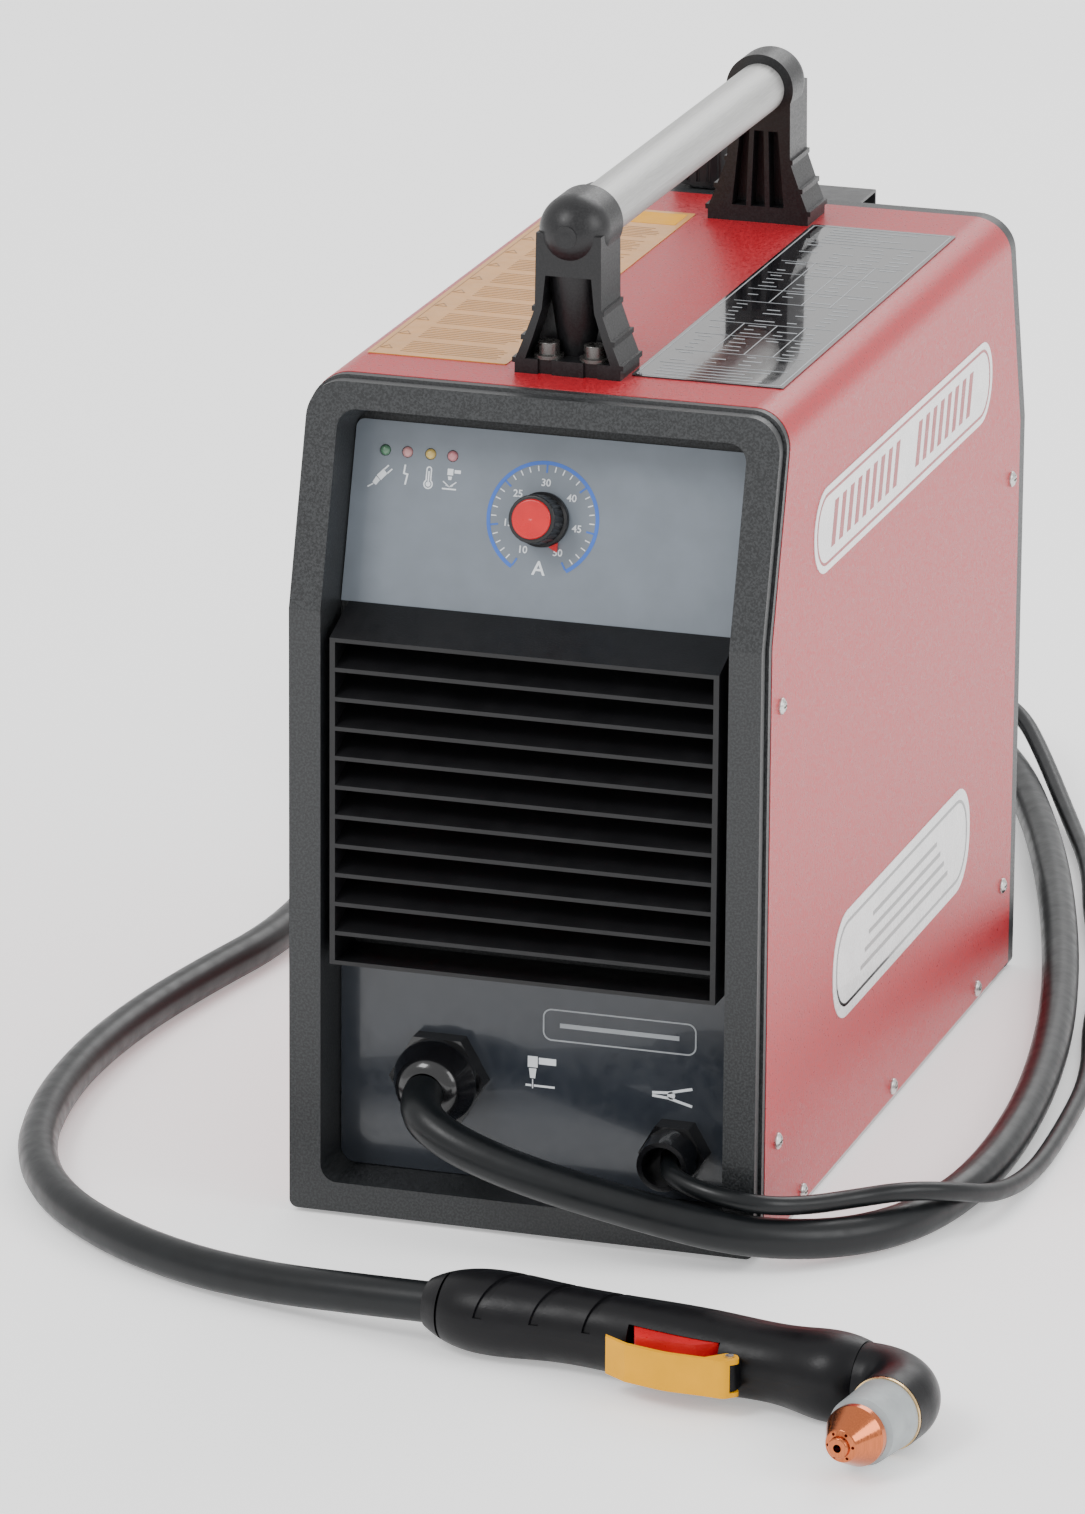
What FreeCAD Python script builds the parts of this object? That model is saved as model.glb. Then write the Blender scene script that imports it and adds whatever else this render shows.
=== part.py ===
"""Inverter plasma cutter with its carry handle, torch lead and earth lead.

Millimetres. +X is to the right of someone facing the front, +Y goes to the rear and +Z is up.
The machine stands on Z = 0, with the origin at the centre of its base. Both leads lie on the
floor round the machine, and what is left over of each lies in a coil behind it.
"""
import FreeCAD
import Part

import math
import os
from FreeCAD import Placement, Rotation, Vector

doc = FreeCAD.newDocument("PlasmaCutter")
exports = []

# Driving dimensions: each is a cell of the sheet, with its name as the alias.
SIZES = {
    "caseHalfWidth": 115,
    "caseTop": 398,
    "cornerRadius": 18,
    "sheetMetal": 1.5,
    "frontFace": -230,
    "frontSeam": 12,
    "frontBend": 294,
    "frontLean": 29.5,
    "rearSeam": 220,
    "rearFace": 230,
    "rearBend": 288,
    "rearLean": 30.5,
    "coverBottom": 4.2,
    "recessHalfWidth": 98,
    "recessBottom": 16.2,
    "recessDepth": 30,
    "grilleHalfWidth": 93.5,
    "grilleTop": 281,
    "grillePitch": 14.18,
    "handleAxis": 465,
    "handleTubeRadius": 12.5,
    "frontPost": -151,
    "rearPost": 158,
    "knobRadius": 11.5,
    "torchLeadRadius": 9.5,
    "earthLeadRadius": 4.5,
    "torchGlandX": -47.5,
    "torchGlandZ": 65,
    "earthGlandX": 68,
    "earthGlandZ": 41.3,
    "fanHalfWidth": 60,
    "fanCentreZ": 110,
}

sheet = doc.addObject("Spreadsheet::Sheet", "Sizes")
for row, (alias, value) in enumerate(SIZES.items(), 1):
    sheet.set(f"A{row}", alias)
    sheet.set(f"B{row}", str(value))
    sheet.setAlias(f"B{row}", alias)
doc.recompute()

HALF = SIZES["caseHalfWidth"]
TOP = SIZES["caseTop"]
FRONT = SIZES["frontFace"]
BEND = SIZES["frontBend"]
LEAN_ANGLE = math.degrees(math.atan2(SIZES["frontLean"], TOP - BEND))
COS_LEAN = math.cos(math.radians(LEAN_ANGLE))
FLOOR_DEPTH = SIZES["recessDepth"] * COS_LEAN
REAR_PANEL_DEPTH = -22
BEYOND = 20
X_AXIS = Vector(1, 0, 0)
Y_AXIS = Vector(0, 1, 0)
Z_AXIS = Vector(0, 0, 1)

# Where a piece made flat on XY goes when it belongs to the leaning upper front:
# its X stays, its Y runs up the slope from the bend, its Z points out of the face.
TILT = Placement(Vector(0, FRONT, BEND), Rotation(X_AXIS, 90 - LEAN_ANGLE))


# ---------------------------------------------------------------- helpers

def bind(obj, **sizes):
    """Set properties: text is an expression of the sheet's names, a number is itself."""
    for prop, value in sizes.items():
        if isinstance(value, str):
            for alias in sorted(SIZES, key=len, reverse=True):
                value = value.replace(alias, "Sizes." + alias)
            obj.setExpression(prop, value.replace("Sizes.Sizes.", "Sizes."))
        else:
            setattr(obj, prop, value)
    return obj


def node(obj, name):
    """Keep an object as the sub-part of that name."""
    obj.Label = name
    exports.append(obj)
    return obj


def box(name, low, high):
    """A box from its lowest to its highest corner."""
    obj = doc.addObject("Part::Box", name)
    bind(obj, Length=high[0] - low[0], Width=high[1] - low[1], Height=high[2] - low[2])
    obj.Placement = Placement(Vector(*low), Rotation())
    return obj


def turned_to(direction):
    """The rotation that takes +Z to a direction."""
    return Rotation(Z_AXIS, Vector(*direction))


def rod(name, start, direction, radius, length):
    """A cylinder from its start along a direction."""
    obj = doc.addObject("Part::Cylinder", name)
    bind(obj, Radius=radius, Height=length)
    obj.Placement = Placement(Vector(*start), turned_to(direction))
    return obj


def cone(name, start, direction, radius_start, radius_end, length):
    """A cone from its start along a direction."""
    obj = doc.addObject("Part::Cone", name)
    bind(obj, Radius1=radius_start, Radius2=radius_end, Height=length)
    obj.Placement = Placement(Vector(*start), turned_to(direction))
    return obj


def hexagon(name, start, direction, radius, length):
    """A hexagonal prism from its start along a direction."""
    obj = doc.addObject("Part::Prism", name)
    bind(obj, Polygon=6, Circumradius=radius, Height=length)
    obj.Placement = Placement(Vector(*start), turned_to(direction))
    return obj


def fuse(name, parts):
    obj = doc.addObject("Part::MultiFuse", name)
    obj.Shapes = parts
    obj.Refine = True
    return obj


def common(name, parts):
    obj = doc.addObject("Part::MultiCommon", name)
    obj.Shapes = parts
    return obj


def cut(name, base, tools):
    """The base less every tool."""
    obj = doc.addObject("Part::Cut", name)
    obj.Base = base
    obj.Tool = fuse(name + "_tools", tools) if len(tools) > 1 else tools[0]
    return obj


def solid_copies(name, source, placements):
    """Separate solids of one made piece, such as a set of screws."""
    doc.recompute()
    shapes = []
    for placement in placements:
        shape = source.Shape.copy()
        shape.Placement = placement.multiply(shape.Placement)
        shapes.append(shape)
    obj = doc.addObject("Part::Feature", name)
    obj.Shape = Part.makeCompound(shapes)
    return obj


def group(name, pieces):
    """Separate solids kept as one node, such as all the lock nuts."""
    obj = doc.addObject("Part::Compound", name)
    obj.Links = pieces
    return obj


def outline(corners):
    """The edges of a closed outline. A corner is (x, y) or (x, y, radius)."""
    points = [Vector(c[0], c[1], 0) for c in corners]
    radii = [c[2] if len(c) > 2 else 0 for c in corners]
    count = len(points)
    starts, ends, arcs = [], [], []
    for i in range(count):
        here = points[i]
        back = (points[i - 1] - here).normalize()
        on = (points[(i + 1) % count] - here).normalize()
        half = back.getAngle(on) / 2
        reach = radii[i] / math.tan(half) if radii[i] else 0
        first, last = here + back * reach, here + on * reach
        starts.append(first)
        ends.append(last)
        if radii[i]:
            middle = (back + on).normalize()
            centre = here + middle * (radii[i] / math.sin(half))
            arcs.append(Part.Arc(first, centre - middle * radii[i], last))
        else:
            arcs.append(None)
    edges = []
    for i in range(count):
        if arcs[i]:
            edges.append(arcs[i])
        if ends[i].distanceToPoint(starts[(i + 1) % count]) > 1e-6:
            edges.append(Part.LineSegment(ends[i], starts[(i + 1) % count]))
    return edges


def circle(x, y, radius):
    return [Part.Circle(Vector(x, y, 0), Z_AXIS, radius)]


def rectangle(x0, y0, x1, y1, radius=0):
    return outline([(x0, y0, radius), (x1, y0, radius), (x1, y1, radius), (x0, y1, radius)])


def sketch_on(body, role, start, loops):
    """A sketch on one of the body's own planes, moved along that plane's normal."""
    sketch = body.newObject("Sketcher::SketchObject", body.Name + "_sketch")
    plane = [f for f in body.Origin.OriginFeatures if f.Role == role][0]
    sketch.AttachmentSupport = [(plane, "")]
    sketch.MapMode = "FlatFace"
    sketch.AttachmentOffset = Placement(Vector(0, 0, start), Rotation())
    for loop in loops:
        for edge in loop:
            sketch.addGeometry(edge, False)
    return sketch


def prism(name, role, start, length, *loops):
    """A padded sketch. It grows from `start` along the plane's normal.

    XY_Plane grows up, YZ_Plane to the right, and XZ_Plane to the front (its start is -Y).
    """
    body = doc.addObject("PartDesign::Body", name)
    pad = body.newObject("PartDesign::Pad", name + "_pad")
    pad.Profile = sketch_on(body, role, start, loops)
    bind(pad, Length=length)
    body.Tip = pad
    return body


def turning(name, profile, start, direction):
    """A revolved sketch: the profile's X is the radius and its Y runs along the direction."""
    body = doc.addObject("PartDesign::Body", name)
    sketch = sketch_on(body, "XZ_Plane", 0, [outline(profile)])
    revolve = body.newObject("PartDesign::Revolution", name + "_turn")
    revolve.Profile = sketch
    revolve.ReferenceAxis = (sketch, ["V_Axis"])
    revolve.Angle = 360
    body.Tip = revolve
    body.Placement = Placement(Vector(*start), turned_to(direction))
    return body


def case_outline(inset, radius):
    """The front view of the case, this far inside its sides, top and bottom."""
    return outline([
        (-HALF + inset, inset, 4), (HALF - inset, inset, 4),
        (HALF - inset, TOP - inset, radius), (-HALF + inset, TOP - inset, radius),
    ])


def lean_slab(name, bend, lean, near, far, half_width=HALF):
    """A slab between two depths that follows a bent face: upright, then leaning in."""
    up = (TOP - bend + BEYOND) / (TOP - bend) * lean
    corners = [
        (near, -BEYOND), (near, bend), (near + up, TOP + BEYOND),
        (far + up, TOP + BEYOND), (far, bend), (far, -BEYOND),
    ]
    return prism(name, "YZ_Plane", -half_width, 2 * half_width, outline(corners))


def front_slab(name, near, far, half_width=HALF):
    return lean_slab(name, BEND, SIZES["frontLean"], FRONT + near, FRONT + far, half_width)


def rear_slab(name, near, far, half_width=HALF):
    """Depths count from the rear seam, positive to the rear."""
    seam = SIZES["rearSeam"]
    return lean_slab(name, SIZES["rearBend"], -SIZES["rearLean"], seam + near, seam + far, half_width)


def front_layer(name, near, far, inset, radius):
    """A layer of the front bezel between two depths, as wide as the case less the inset."""
    shape = prism(name + "_shape", "XZ_Plane", 160, 90, case_outline(inset, radius))
    return common(name, [shape, front_slab(name + "_slab", near, far)])


def rear_layer(name, near, far, inset, radius):
    shape = prism(name + "_shape", "XZ_Plane", -250, 120, case_outline(inset, radius))
    return common(name, [shape, rear_slab(name + "_slab", near, far)])


# ---------------------------------------------------------------- case

SIDE_SCREWS = [(-203, 262), (-199, 50), (-155, 10), (2, 10), (158, 10), (203, 50), (204, 262)]
HANDLE_SCREW_X = 11
HANDLE_SCREW_OUT = 8
HANDLE_SCREWS = [
    (x, y) for y in (SIZES["frontPost"] - HANDLE_SCREW_OUT, SIZES["rearPost"] + HANDLE_SCREW_OUT)
    for x in (-HANDLE_SCREW_X, HANDLE_SCREW_X)
]


def side_screw_holes(name, radius):
    """One rod through both sides at each screw."""
    return [
        rod(f"{name}_{i}", (-HALF - 5, y, z), X_AXIS, radius, 2 * HALF + 10)
        for i, (y, z) in enumerate(SIDE_SCREWS)
    ]


def make_cover():
    metal = SIZES["sheetMetal"]
    radius = SIZES["cornerRadius"]
    low = SIZES["coverBottom"]
    inner = HALF - metal
    shape = prism("cover_shape", "XZ_Plane", -SIZES["rearSeam"], SIZES["rearSeam"] - FRONT, outline([
        (-HALF, low), (-HALF, TOP, radius), (HALF, TOP, radius), (HALF, low),
        (inner, low), (inner, TOP - metal, radius - metal),
        (-inner, TOP - metal, radius - metal), (-inner, low),
    ]))
    seam = FRONT + SIZES["frontSeam"]
    front_cut = lean_slab("cover_front", BEND, SIZES["frontLean"], FRONT - 60, seam, HALF + 5)
    rear_cut = rear_slab("cover_rear", 0, 60, HALF + 5)
    screw_holes = side_screw_holes("cover_screw_hole", 2.2)
    handle_holes = [
        rod(f"cover_handle_hole_{i}", (x, y, TOP - 5), Z_AXIS, 3.3, 10)
        for i, (x, y) in enumerate(HANDLE_SCREWS)
    ]
    node(cut("cover", shape, [front_cut, rear_cut] + screw_holes + handle_holes), "cover")


def make_base_tray():
    metal = SIZES["sheetMetal"]
    side = 113.2
    plate = box("tray_plate", (-side, -218, 0), (side, 220, metal))
    flanges = [
        box("tray_left", (-side, -190, 0), (-side + metal, 196, 28)),
        box("tray_right", (side - metal, -190, 0), (side, 196, 28)),
    ]
    rails = [box(f"tray_rail_{i}", (-95, y, 0.5), (8, y + 12, 12)) for i, y in enumerate((-110, 98))]
    feet = [box(f"tray_foot_{i}", (x, -78, 0.5), (x + 12, -62, 10)) for i, x in enumerate((36, 82))]
    holes = side_screw_holes("tray_hole", 2.05)
    node(cut("base_tray", fuse("tray_body", [plate] + flanges + rails + feet), holes), "base_tray")


def bezel_lugs(name, y0, y1):
    """The four blocks that the side screws bite into."""
    lugs = []
    for i, (x0, x1) in enumerate(((-113.2, -100), (100, 113.2))):
        lugs.append(box(f"{name}_low_{i}", (x0, y0, 42), (x1, y1, 58)))
        lugs.append(box(f"{name}_high_{i}", (x0, y0, 254), (x1, y1, 270)))
    return lugs


def front_recess(name, depth):
    """The hollow of the front: upright below the bend, square to the leaning face above it."""
    half = SIZES["recessHalfWidth"]
    low = SIZES["recessBottom"]
    lower = prism(name + "_low", "XZ_Plane", -(FRONT + depth), depth + 5, outline([
        (-half, low, 8), (half, low, 8), (half, BEND), (-half, BEND),
    ]))
    upper = prism(name + "_high", "XY_Plane", -depth * COS_LEAN, depth * COS_LEAN + 5, outline([
        (-half, -9), (half, -9), (half, 94, 9), (-half, 94, 9),
    ]))
    upper.Placement = TILT
    return [lower, upper]


LED_HEIGHT = 76.5
LED_PLACES = (-82.5, -71.7, -60.5, -49.8)
KNOB_X, KNOB_UP = -3.9, 51.2


def tilted_rod(name, x, up, low, radius, length):
    """A cylinder square to the leaning face, from a height out of that face."""
    obj = rod(name, (0, 0, 0), Z_AXIS, radius, length)
    obj.Placement = TILT.multiply(Placement(Vector(x, up, low), Rotation()))
    return obj


def make_front_bezel():
    depth = SIZES["recessDepth"]
    body = fuse("bezel_body", [
        front_layer("bezel_rim", 0, 6, 1.6, 16.4),
        front_layer("bezel_groove", 5.9, 7.6, 3.4, 14.6),
        front_layer("bezel_flange", 7.5, 12, 0.3, 17.7),
        front_layer("bezel_tub", 11.9, depth + 3, 13, 8),
    ] + bezel_lugs("bezel_lug", FRONT + 12, FRONT + 36))
    holes = side_screw_holes("bezel_screw_hole", 2.05)[:2]
    window = box("bezel_window", (-85, FRONT + 20, 132), (85, FRONT + 40, 272))
    glands = [
        rod("bezel_gland_big", (SIZES["torchGlandX"], -190, SIZES["torchGlandZ"]), -Y_AXIS, 13.2, 20),
        rod("bezel_gland_small", (SIZES["earthGlandX"], -190, SIZES["earthGlandZ"]), -Y_AXIS, 8.2, 20),
    ]
    lights = [
        tilted_rod(f"bezel_led_{i}", x, LED_HEIGHT, -40, 3, 20)
        for i, x in enumerate(LED_PLACES)
    ]
    shaft = tilted_rod("bezel_shaft", KNOB_X, KNOB_UP, -40, 5, 20)
    recess = front_recess("bezel_recess", depth)
    node(cut("front_bezel", body, recess + holes + [window, shaft] + glands + lights), "front_bezel")


def make_rear_bezel():
    body = fuse("rear_body", [
        rear_layer("rear_flange", 0, 10, 0.3, 17.7),
        rear_layer("rear_tub", REAR_PANEL_DEPTH, 0.1, 13, 8),
    ] + bezel_lugs("rear_lug", SIZES["rearSeam"] + REAR_PANEL_DEPTH, SIZES["rearSeam"]))
    opening = prism("rear_opening", "XZ_Plane", -250, 120, rectangle(-98, 16.2, 98, 384, 9))
    holes = side_screw_holes("rear_screw_hole", 2.05)[5:]
    node(cut("rear_bezel", body, [opening] + holes), "rear_bezel")


SWITCH_X, SWITCH_Z = 55, 245
MAINS_X, MAINS_Z = -55, 215
REGULATOR_X, REGULATOR_Y, AIR_Z, INLET_Z = -48, 218, 352, 367


def make_rear_panel():
    shape = prism("panel_shape", "XZ_Plane", -250, 120, rectangle(-101.5, 13.2, 101.5, 384.5, 6))
    sheet_layer = rear_slab("panel_slab", REAR_PANEL_DEPTH - SIZES["sheetMetal"], REAR_PANEL_DEPTH)
    holes = [
        rod("panel_fan", (0, 180, SIZES["fanCentreZ"]), Y_AXIS, 56, 40),
        rod("panel_switch", (SWITCH_X, 180, SWITCH_Z), Y_AXIS, 8.2, 40),
        rod("panel_mains", (MAINS_X, 180, MAINS_Z), Y_AXIS, 8.2, 40),
        rod("panel_air", (REGULATOR_X, 160, AIR_Z), Y_AXIS, 7.2, 60),
    ]
    node(cut("rear_panel", common("panel_body", [shape, sheet_layer]), holes), "rear_panel")


def make_plates():
    """The printed control plate above and the plain socket plate below."""
    control = prism("control_flat", "XY_Plane", -FLOOR_DEPTH, 1.2, outline([
        (-97.5, 5.6), (97.5, 5.6), (97.5, 90.2, 4), (-97.5, 90.2, 4),
    ]), circle(KNOB_X, KNOB_UP, 4), *[circle(x, LED_HEIGHT, 2.7) for x in LED_PLACES])
    control.Placement = TILT
    node(control, "control_plate")
    back = FRONT + SIZES["recessDepth"]
    socket = prism("socket_flat", "XZ_Plane", -back, 1.2, outline([
        (-97.5, 16.6, 7), (97.5, 16.6, 7), (97.5, 123.7), (-97.5, 123.7),
    ]), circle(SIZES["torchGlandX"], SIZES["torchGlandZ"], 13.2),
        circle(SIZES["earthGlandX"], SIZES["earthGlandZ"], 8.2))
    node(socket, "socket_plate")


def make_grille():
    """Twelve front edges: a sloping hood, ten sloping blades and a level bottom."""
    half = SIZES["grilleHalfWidth"]
    top = SIZES["grilleTop"]
    pitch = SIZES["grillePitch"]
    edges = 12
    low = top - (edges - 1) * pitch
    back = FRONT + SIZES["recessDepth"] - 0.1
    wall = 2.6
    side = outline([
        (FRONT, low - 1.2), (FRONT, top + 1), (back - 2.5, top + 11), (back, top + 6), (back, low - 1.2),
    ])
    parts = [
        prism("grille_left", "YZ_Plane", -half, wall, side),
        prism("grille_right", "YZ_Plane", half - wall, wall, side),
        prism("grille_hood", "YZ_Plane", -half, 2 * half, outline([
            (FRONT, top - 1), (FRONT, top + 1), (back - 2.5, top + 11), (back - 2.5, top + 9),
        ])),
        prism("grille_bottom", "YZ_Plane", -half, 2 * half, rectangle(FRONT, low - 1.2, back, low + 0.8)),
    ]
    for i in range(1, edges - 1):
        z = top - i * pitch
        parts.append(prism(f"grille_blade_{i}", "YZ_Plane", -half, 2 * half, outline([
            (FRONT, z - 1), (FRONT, z + 1), (FRONT + 23, z + 9.5), (FRONT + 23, z + 7.5),
        ])))
    node(fuse("louvre_grille", parts), "louvre_grille")


def make_side_screws():
    """Cross-recessed pan-head screws, seven on each side."""
    screw = turning("screw_turn", [
        (0, -9), (2, -9), (2, 0), (4, 0), (4, 1.1, 0.9), (2.2, 2.5, 2), (0, 2.5),
    ], (0, 0, 0), Z_AXIS)
    cross = [
        box("screw_slot_a", (-2.4, -0.5, 1.5), (2.4, 0.5, 3)),
        box("screw_slot_b", (-0.5, -2.4, 1.5), (0.5, 2.4, 3)),
    ]
    master = cut("screw_master", screw, cross)
    places = []
    for sign in (-1, 1):
        for y, z in SIDE_SCREWS:
            places.append(Placement(Vector(sign * HALF, y, z), turned_to((sign, 0, 0))))
    node(solid_copies("side_screws", master, places), "side_screws")


def make_labels():
    """Thin stuck-on labels on the cover."""
    left = prism("label_left_flat", "XY_Plane", TOP, 0.4, rectangle(-101, -155, -33, 148))
    right = prism("label_right_flat", "XY_Plane", TOP, 0.6, rectangle(27.2, -155, 100, 146))
    node(group("top_labels", [left, right]), "top_labels")
    upper = prism("label_upper_flat", "YZ_Plane", HALF, 0.4, rectangle(-152, 306, 162, 347, 20))
    lower = prism("label_lower_flat", "YZ_Plane", HALF, 0.4, rectangle(-108, 74, 137, 127, 24))
    node(group("side_labels", [upper, lower]), "side_labels")


# ---------------------------------------------------------------- carry handle

POST_RADIUS = 17


def make_post(name, y, outward):
    """A moulded post: a ball-ended socket for the tube on a flared foot with side ribs.

    `outward` is -1 for the front post and 1 for the rear one; the foot's screws are outside.
    """
    axis = SIZES["handleAxis"]
    depth = 30
    silhouette = prism(name + "_flare", "XZ_Plane", -y - depth / 2, depth, outline([
        (-25.5, TOP), (25.5, TOP), (25.5, TOP + 6), (21.5, TOP + 16), (16, TOP + 31, 20),
        (15.6, axis), (-15.6, axis), (-16, TOP + 31, 20), (-21.5, TOP + 16), (-25.5, TOP + 6),
    ]))
    socket_start = y - outward * 15
    parts = [silhouette, rod(name + "_socket", (0, socket_start, axis), (0, outward, 0), POST_RADIUS, 18)]
    ball = doc.addObject("Part::Sphere", name + "_ball")
    bind(ball, Radius=POST_RADIUS)
    ball.Placement = Placement(Vector(0, y + outward * 3, axis), Rotation())
    parts.append(ball)
    parts.append(rod(name + "_mark", (0, y + outward * 14, axis), (0, outward, 0), 5.2, 5.8))
    for i, (rib_z, rib_x) in enumerate(((TOP + 6, 26.8), (TOP + 17, 22.6), (TOP + 31, 17.4))):
        low_corner = (-rib_x, y - depth / 2, rib_z - 1.2)
        high_corner = (rib_x, y + depth / 2, rib_z + 1.2)
        parts.append(box(f"{name}_rib_{i}", low_corner, high_corner))
    body = fuse(name + "_body", parts)
    face = y + outward * depth / 2
    pocket_near = y + outward * 0.5
    low_y, high_y = sorted((face + outward * 8, pocket_near))
    pocket = prism(name + "_pocket", "XZ_Plane", -high_y, high_y - low_y, outline([
        (-20.5, TOP + 7), (20.5, TOP + 7), (17, TOP + 17), (12.6, TOP + 31), (11, TOP + 47), (-11, TOP + 47),
        (-12.6, TOP + 31), (-17, TOP + 17),
    ]))
    column = cone(name + "_column", (0, y - outward * 6, TOP + 1), (0, outward * 9, 66), 9, 16, 66.6)
    hollow = cut(name + "_hollow", pocket, [column])
    inner = y - outward * depth / 2
    slots = []
    for i, x in enumerate((-9.6, 0, 9.6)):
        low, high = sorted((inner - outward * 1, inner + outward * 9))
        slots.append(prism(f"{name}_slot_{i}", "XZ_Plane", -high, high - low, outline([
            (x - 3.6, TOP + 8), (x + 3.6, TOP + 8), (x * 0.75 + 2.4, TOP + 46), (x * 0.75 - 2.4, TOP + 46),
        ])))
    bore = rod(name + "_bore", (0, y - outward * 20, axis), (0, outward, 0), "handleTubeRadius", 22)
    screw_holes = [
        rod(f"{name}_screw_{i}", (x, y + outward * HANDLE_SCREW_OUT, TOP - 1), Z_AXIS, 3.2, 12)
        for i, x in enumerate((-HANDLE_SCREW_X, HANDLE_SCREW_X))
    ]
    notch_low, notch_high = sorted((face, face - outward * 1.6))
    notches = [
        box(f"{name}_notch_{i}", (x - 3.4, notch_low, TOP - 1), (x + 3.4, notch_high, TOP + 9))
        for i, x in enumerate((-HANDLE_SCREW_X, HANDLE_SCREW_X))
    ]
    node(cut(name, body, [hollow, bore] + slots + screw_holes + notches), name)


def make_handle():
    axis = SIZES["handleAxis"]
    front, rear = SIZES["frontPost"], SIZES["rearPost"]
    make_post("handle_front_post", front, -1)
    make_post("handle_rear_post", rear, 1)
    outer = rod("tube_outer", (0, front + 2 - 4, axis), Y_AXIS, "handleTubeRadius", rear - front)
    inner = rod("tube_inner", (0, front - 12, axis), Y_AXIS, "handleTubeRadius - 2", rear - front + 20)
    node(cut("handle_tube", outer, [inner]), "handle_tube")

    screw = cut("handle_screw_master", turning("handle_screw_turn", [
        (0, -14), (3, -14), (3, 1.6), (5, 1.6), (5, 7.6, 0.6), (0, 7.6),
    ], (0, 0, 0), Z_AXIS), [hexagon("handle_screw_socket", (0, 0, 4), Z_AXIS, 2.9, 6)])
    ring = cut("washer_master", rod("washer_outer", (0, 0, 0), Z_AXIS, 7, 1.6), [
        rod("washer_bore", (0, 0, -1), Z_AXIS, 3.2, 4)])
    nut = cut("nut_master", hexagon("nut_outer", (0, 0, -15), Z_AXIS, 5.7, 5), [
        rod("nut_bore", (0, 0, -16), Z_AXIS, 3, 8)])
    places = [Placement(Vector(x, y, TOP + 7), Rotation()) for x, y in HANDLE_SCREWS]
    sets = [solid_copies(f"handle_{name}", piece, places) for name, piece in (
        ("screws", screw), ("washers", ring), ("nuts", nut))]
    node(group("handle_fasteners", sets), "handle_fasteners")


# ---------------------------------------------------------------- controls

def make_controls():
    board_low, board_high = -45, -43.4
    thickness = board_high - board_low
    board = prism("control_board_flat", "XY_Plane", board_low, thickness, rectangle(-92, 14, 60, 86, 2))
    board.Placement = TILT
    power_board = box("power_board", (-100, -128, 62), (12, 128, 63.6))
    node(group("circuit_boards", [board, power_board]), "circuit_boards")

    pot = cut("pot_body", rod("pot_case", (0, 0, 0), Z_AXIS, 8, 9), [
        rod("pot_bore", (0, 0, 3), Z_AXIS, 3.05, 8)])
    pot.Placement = TILT.multiply(Placement(Vector(KNOB_X, KNOB_UP, board_high), Rotation()))
    modules = [box(f"module_{i}", (-75, y, 52), (-45, y + 44, 62)) for i, y in enumerate((-105, -50, 5, 60))]
    can = turning("can_turn", [(0, 63.6), (15, 63.6), (15, 110, 1.5), (0, 110)], (0, 0, 0), Z_AXIS)
    places = [Placement(Vector(x, y, 0), Rotation()) for x in (-80, -44) for y in (-100, -64, -28)]
    capacitors = solid_copies("capacitors", can, places)
    node(group("board_components", [pot, capacitors] + modules), "board_components")

    lamp = turning("lamp_turn", [(0, 0), (2.5, 0), (2.5, 17.4, 2), (0, 17.4)], (0, 0, 0), Z_AXIS)
    places = [TILT.multiply(Placement(Vector(x, LED_HEIGHT, board_high), Rotation())) for x in LED_PLACES]
    node(solid_copies("indicator_lamps", lamp, places), "indicator_lamps")

    face = -FLOOR_DEPTH + 1.2
    at_knob = TILT.multiply(Placement(Vector(KNOB_X, KNOB_UP, face + 0.3), Rotation()))
    shaft = rod("shaft", (0, 0, 0), Z_AXIS, 3, 26)
    shaft.Placement = TILT.multiply(Placement(Vector(KNOB_X, KNOB_UP, board_high + 3.3), Rotation()))
    node(shaft, "knob_shaft")
    doc.recompute()
    shaft_top = board_high + 3.3 + 26 - (face + 0.3)

    skirt = turning("knob_turn", [
        (0, 0), (12.8, 0), (12.8, 3, 0.8), (11.5, 4.2), (11.2, 17.8, 1), (9.3, 17.8), (9.3, 15.5), (0, 15.5),
    ], (0, 0, 0), Z_AXIS)
    flutes = []
    for i in range(24):
        angle = 2 * math.pi * i / 24
        flutes.append(rod(f"flute_{i}", (11.9 * math.cos(angle), 11.9 * math.sin(angle), 4.4), Z_AXIS, 0.9, 16))
    bore = rod("knob_bore", (0, 0, -1), Z_AXIS, 3, 1 + shaft_top)
    knob = cut("knob_body", skirt, flutes + [bore])
    knob.Placement = at_knob
    node(knob, "knob_body")

    cap = turning("knob_cap", [(0, 0), (9.3, 0), (9.3, 3.6, 1), (0, 3.9)], (0, 0, 0), Z_AXIS)
    cap.Placement = at_knob.multiply(Placement(Vector(0, 0, 15.5), Rotation()))
    pointer = prism("knob_pointer", "XY_Plane", 0, 1.2, outline([(12.9, -2.4), (16.6, 0), (12.9, 2.4)]))
    pointer.Placement = at_knob.multiply(Placement(Vector(0, 0, 0.2), Rotation(Z_AXIS, -60)))
    node(group("knob_red_parts", [cap, pointer]), "knob_red_parts")


# ---------------------------------------------------------------- works inside

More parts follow.
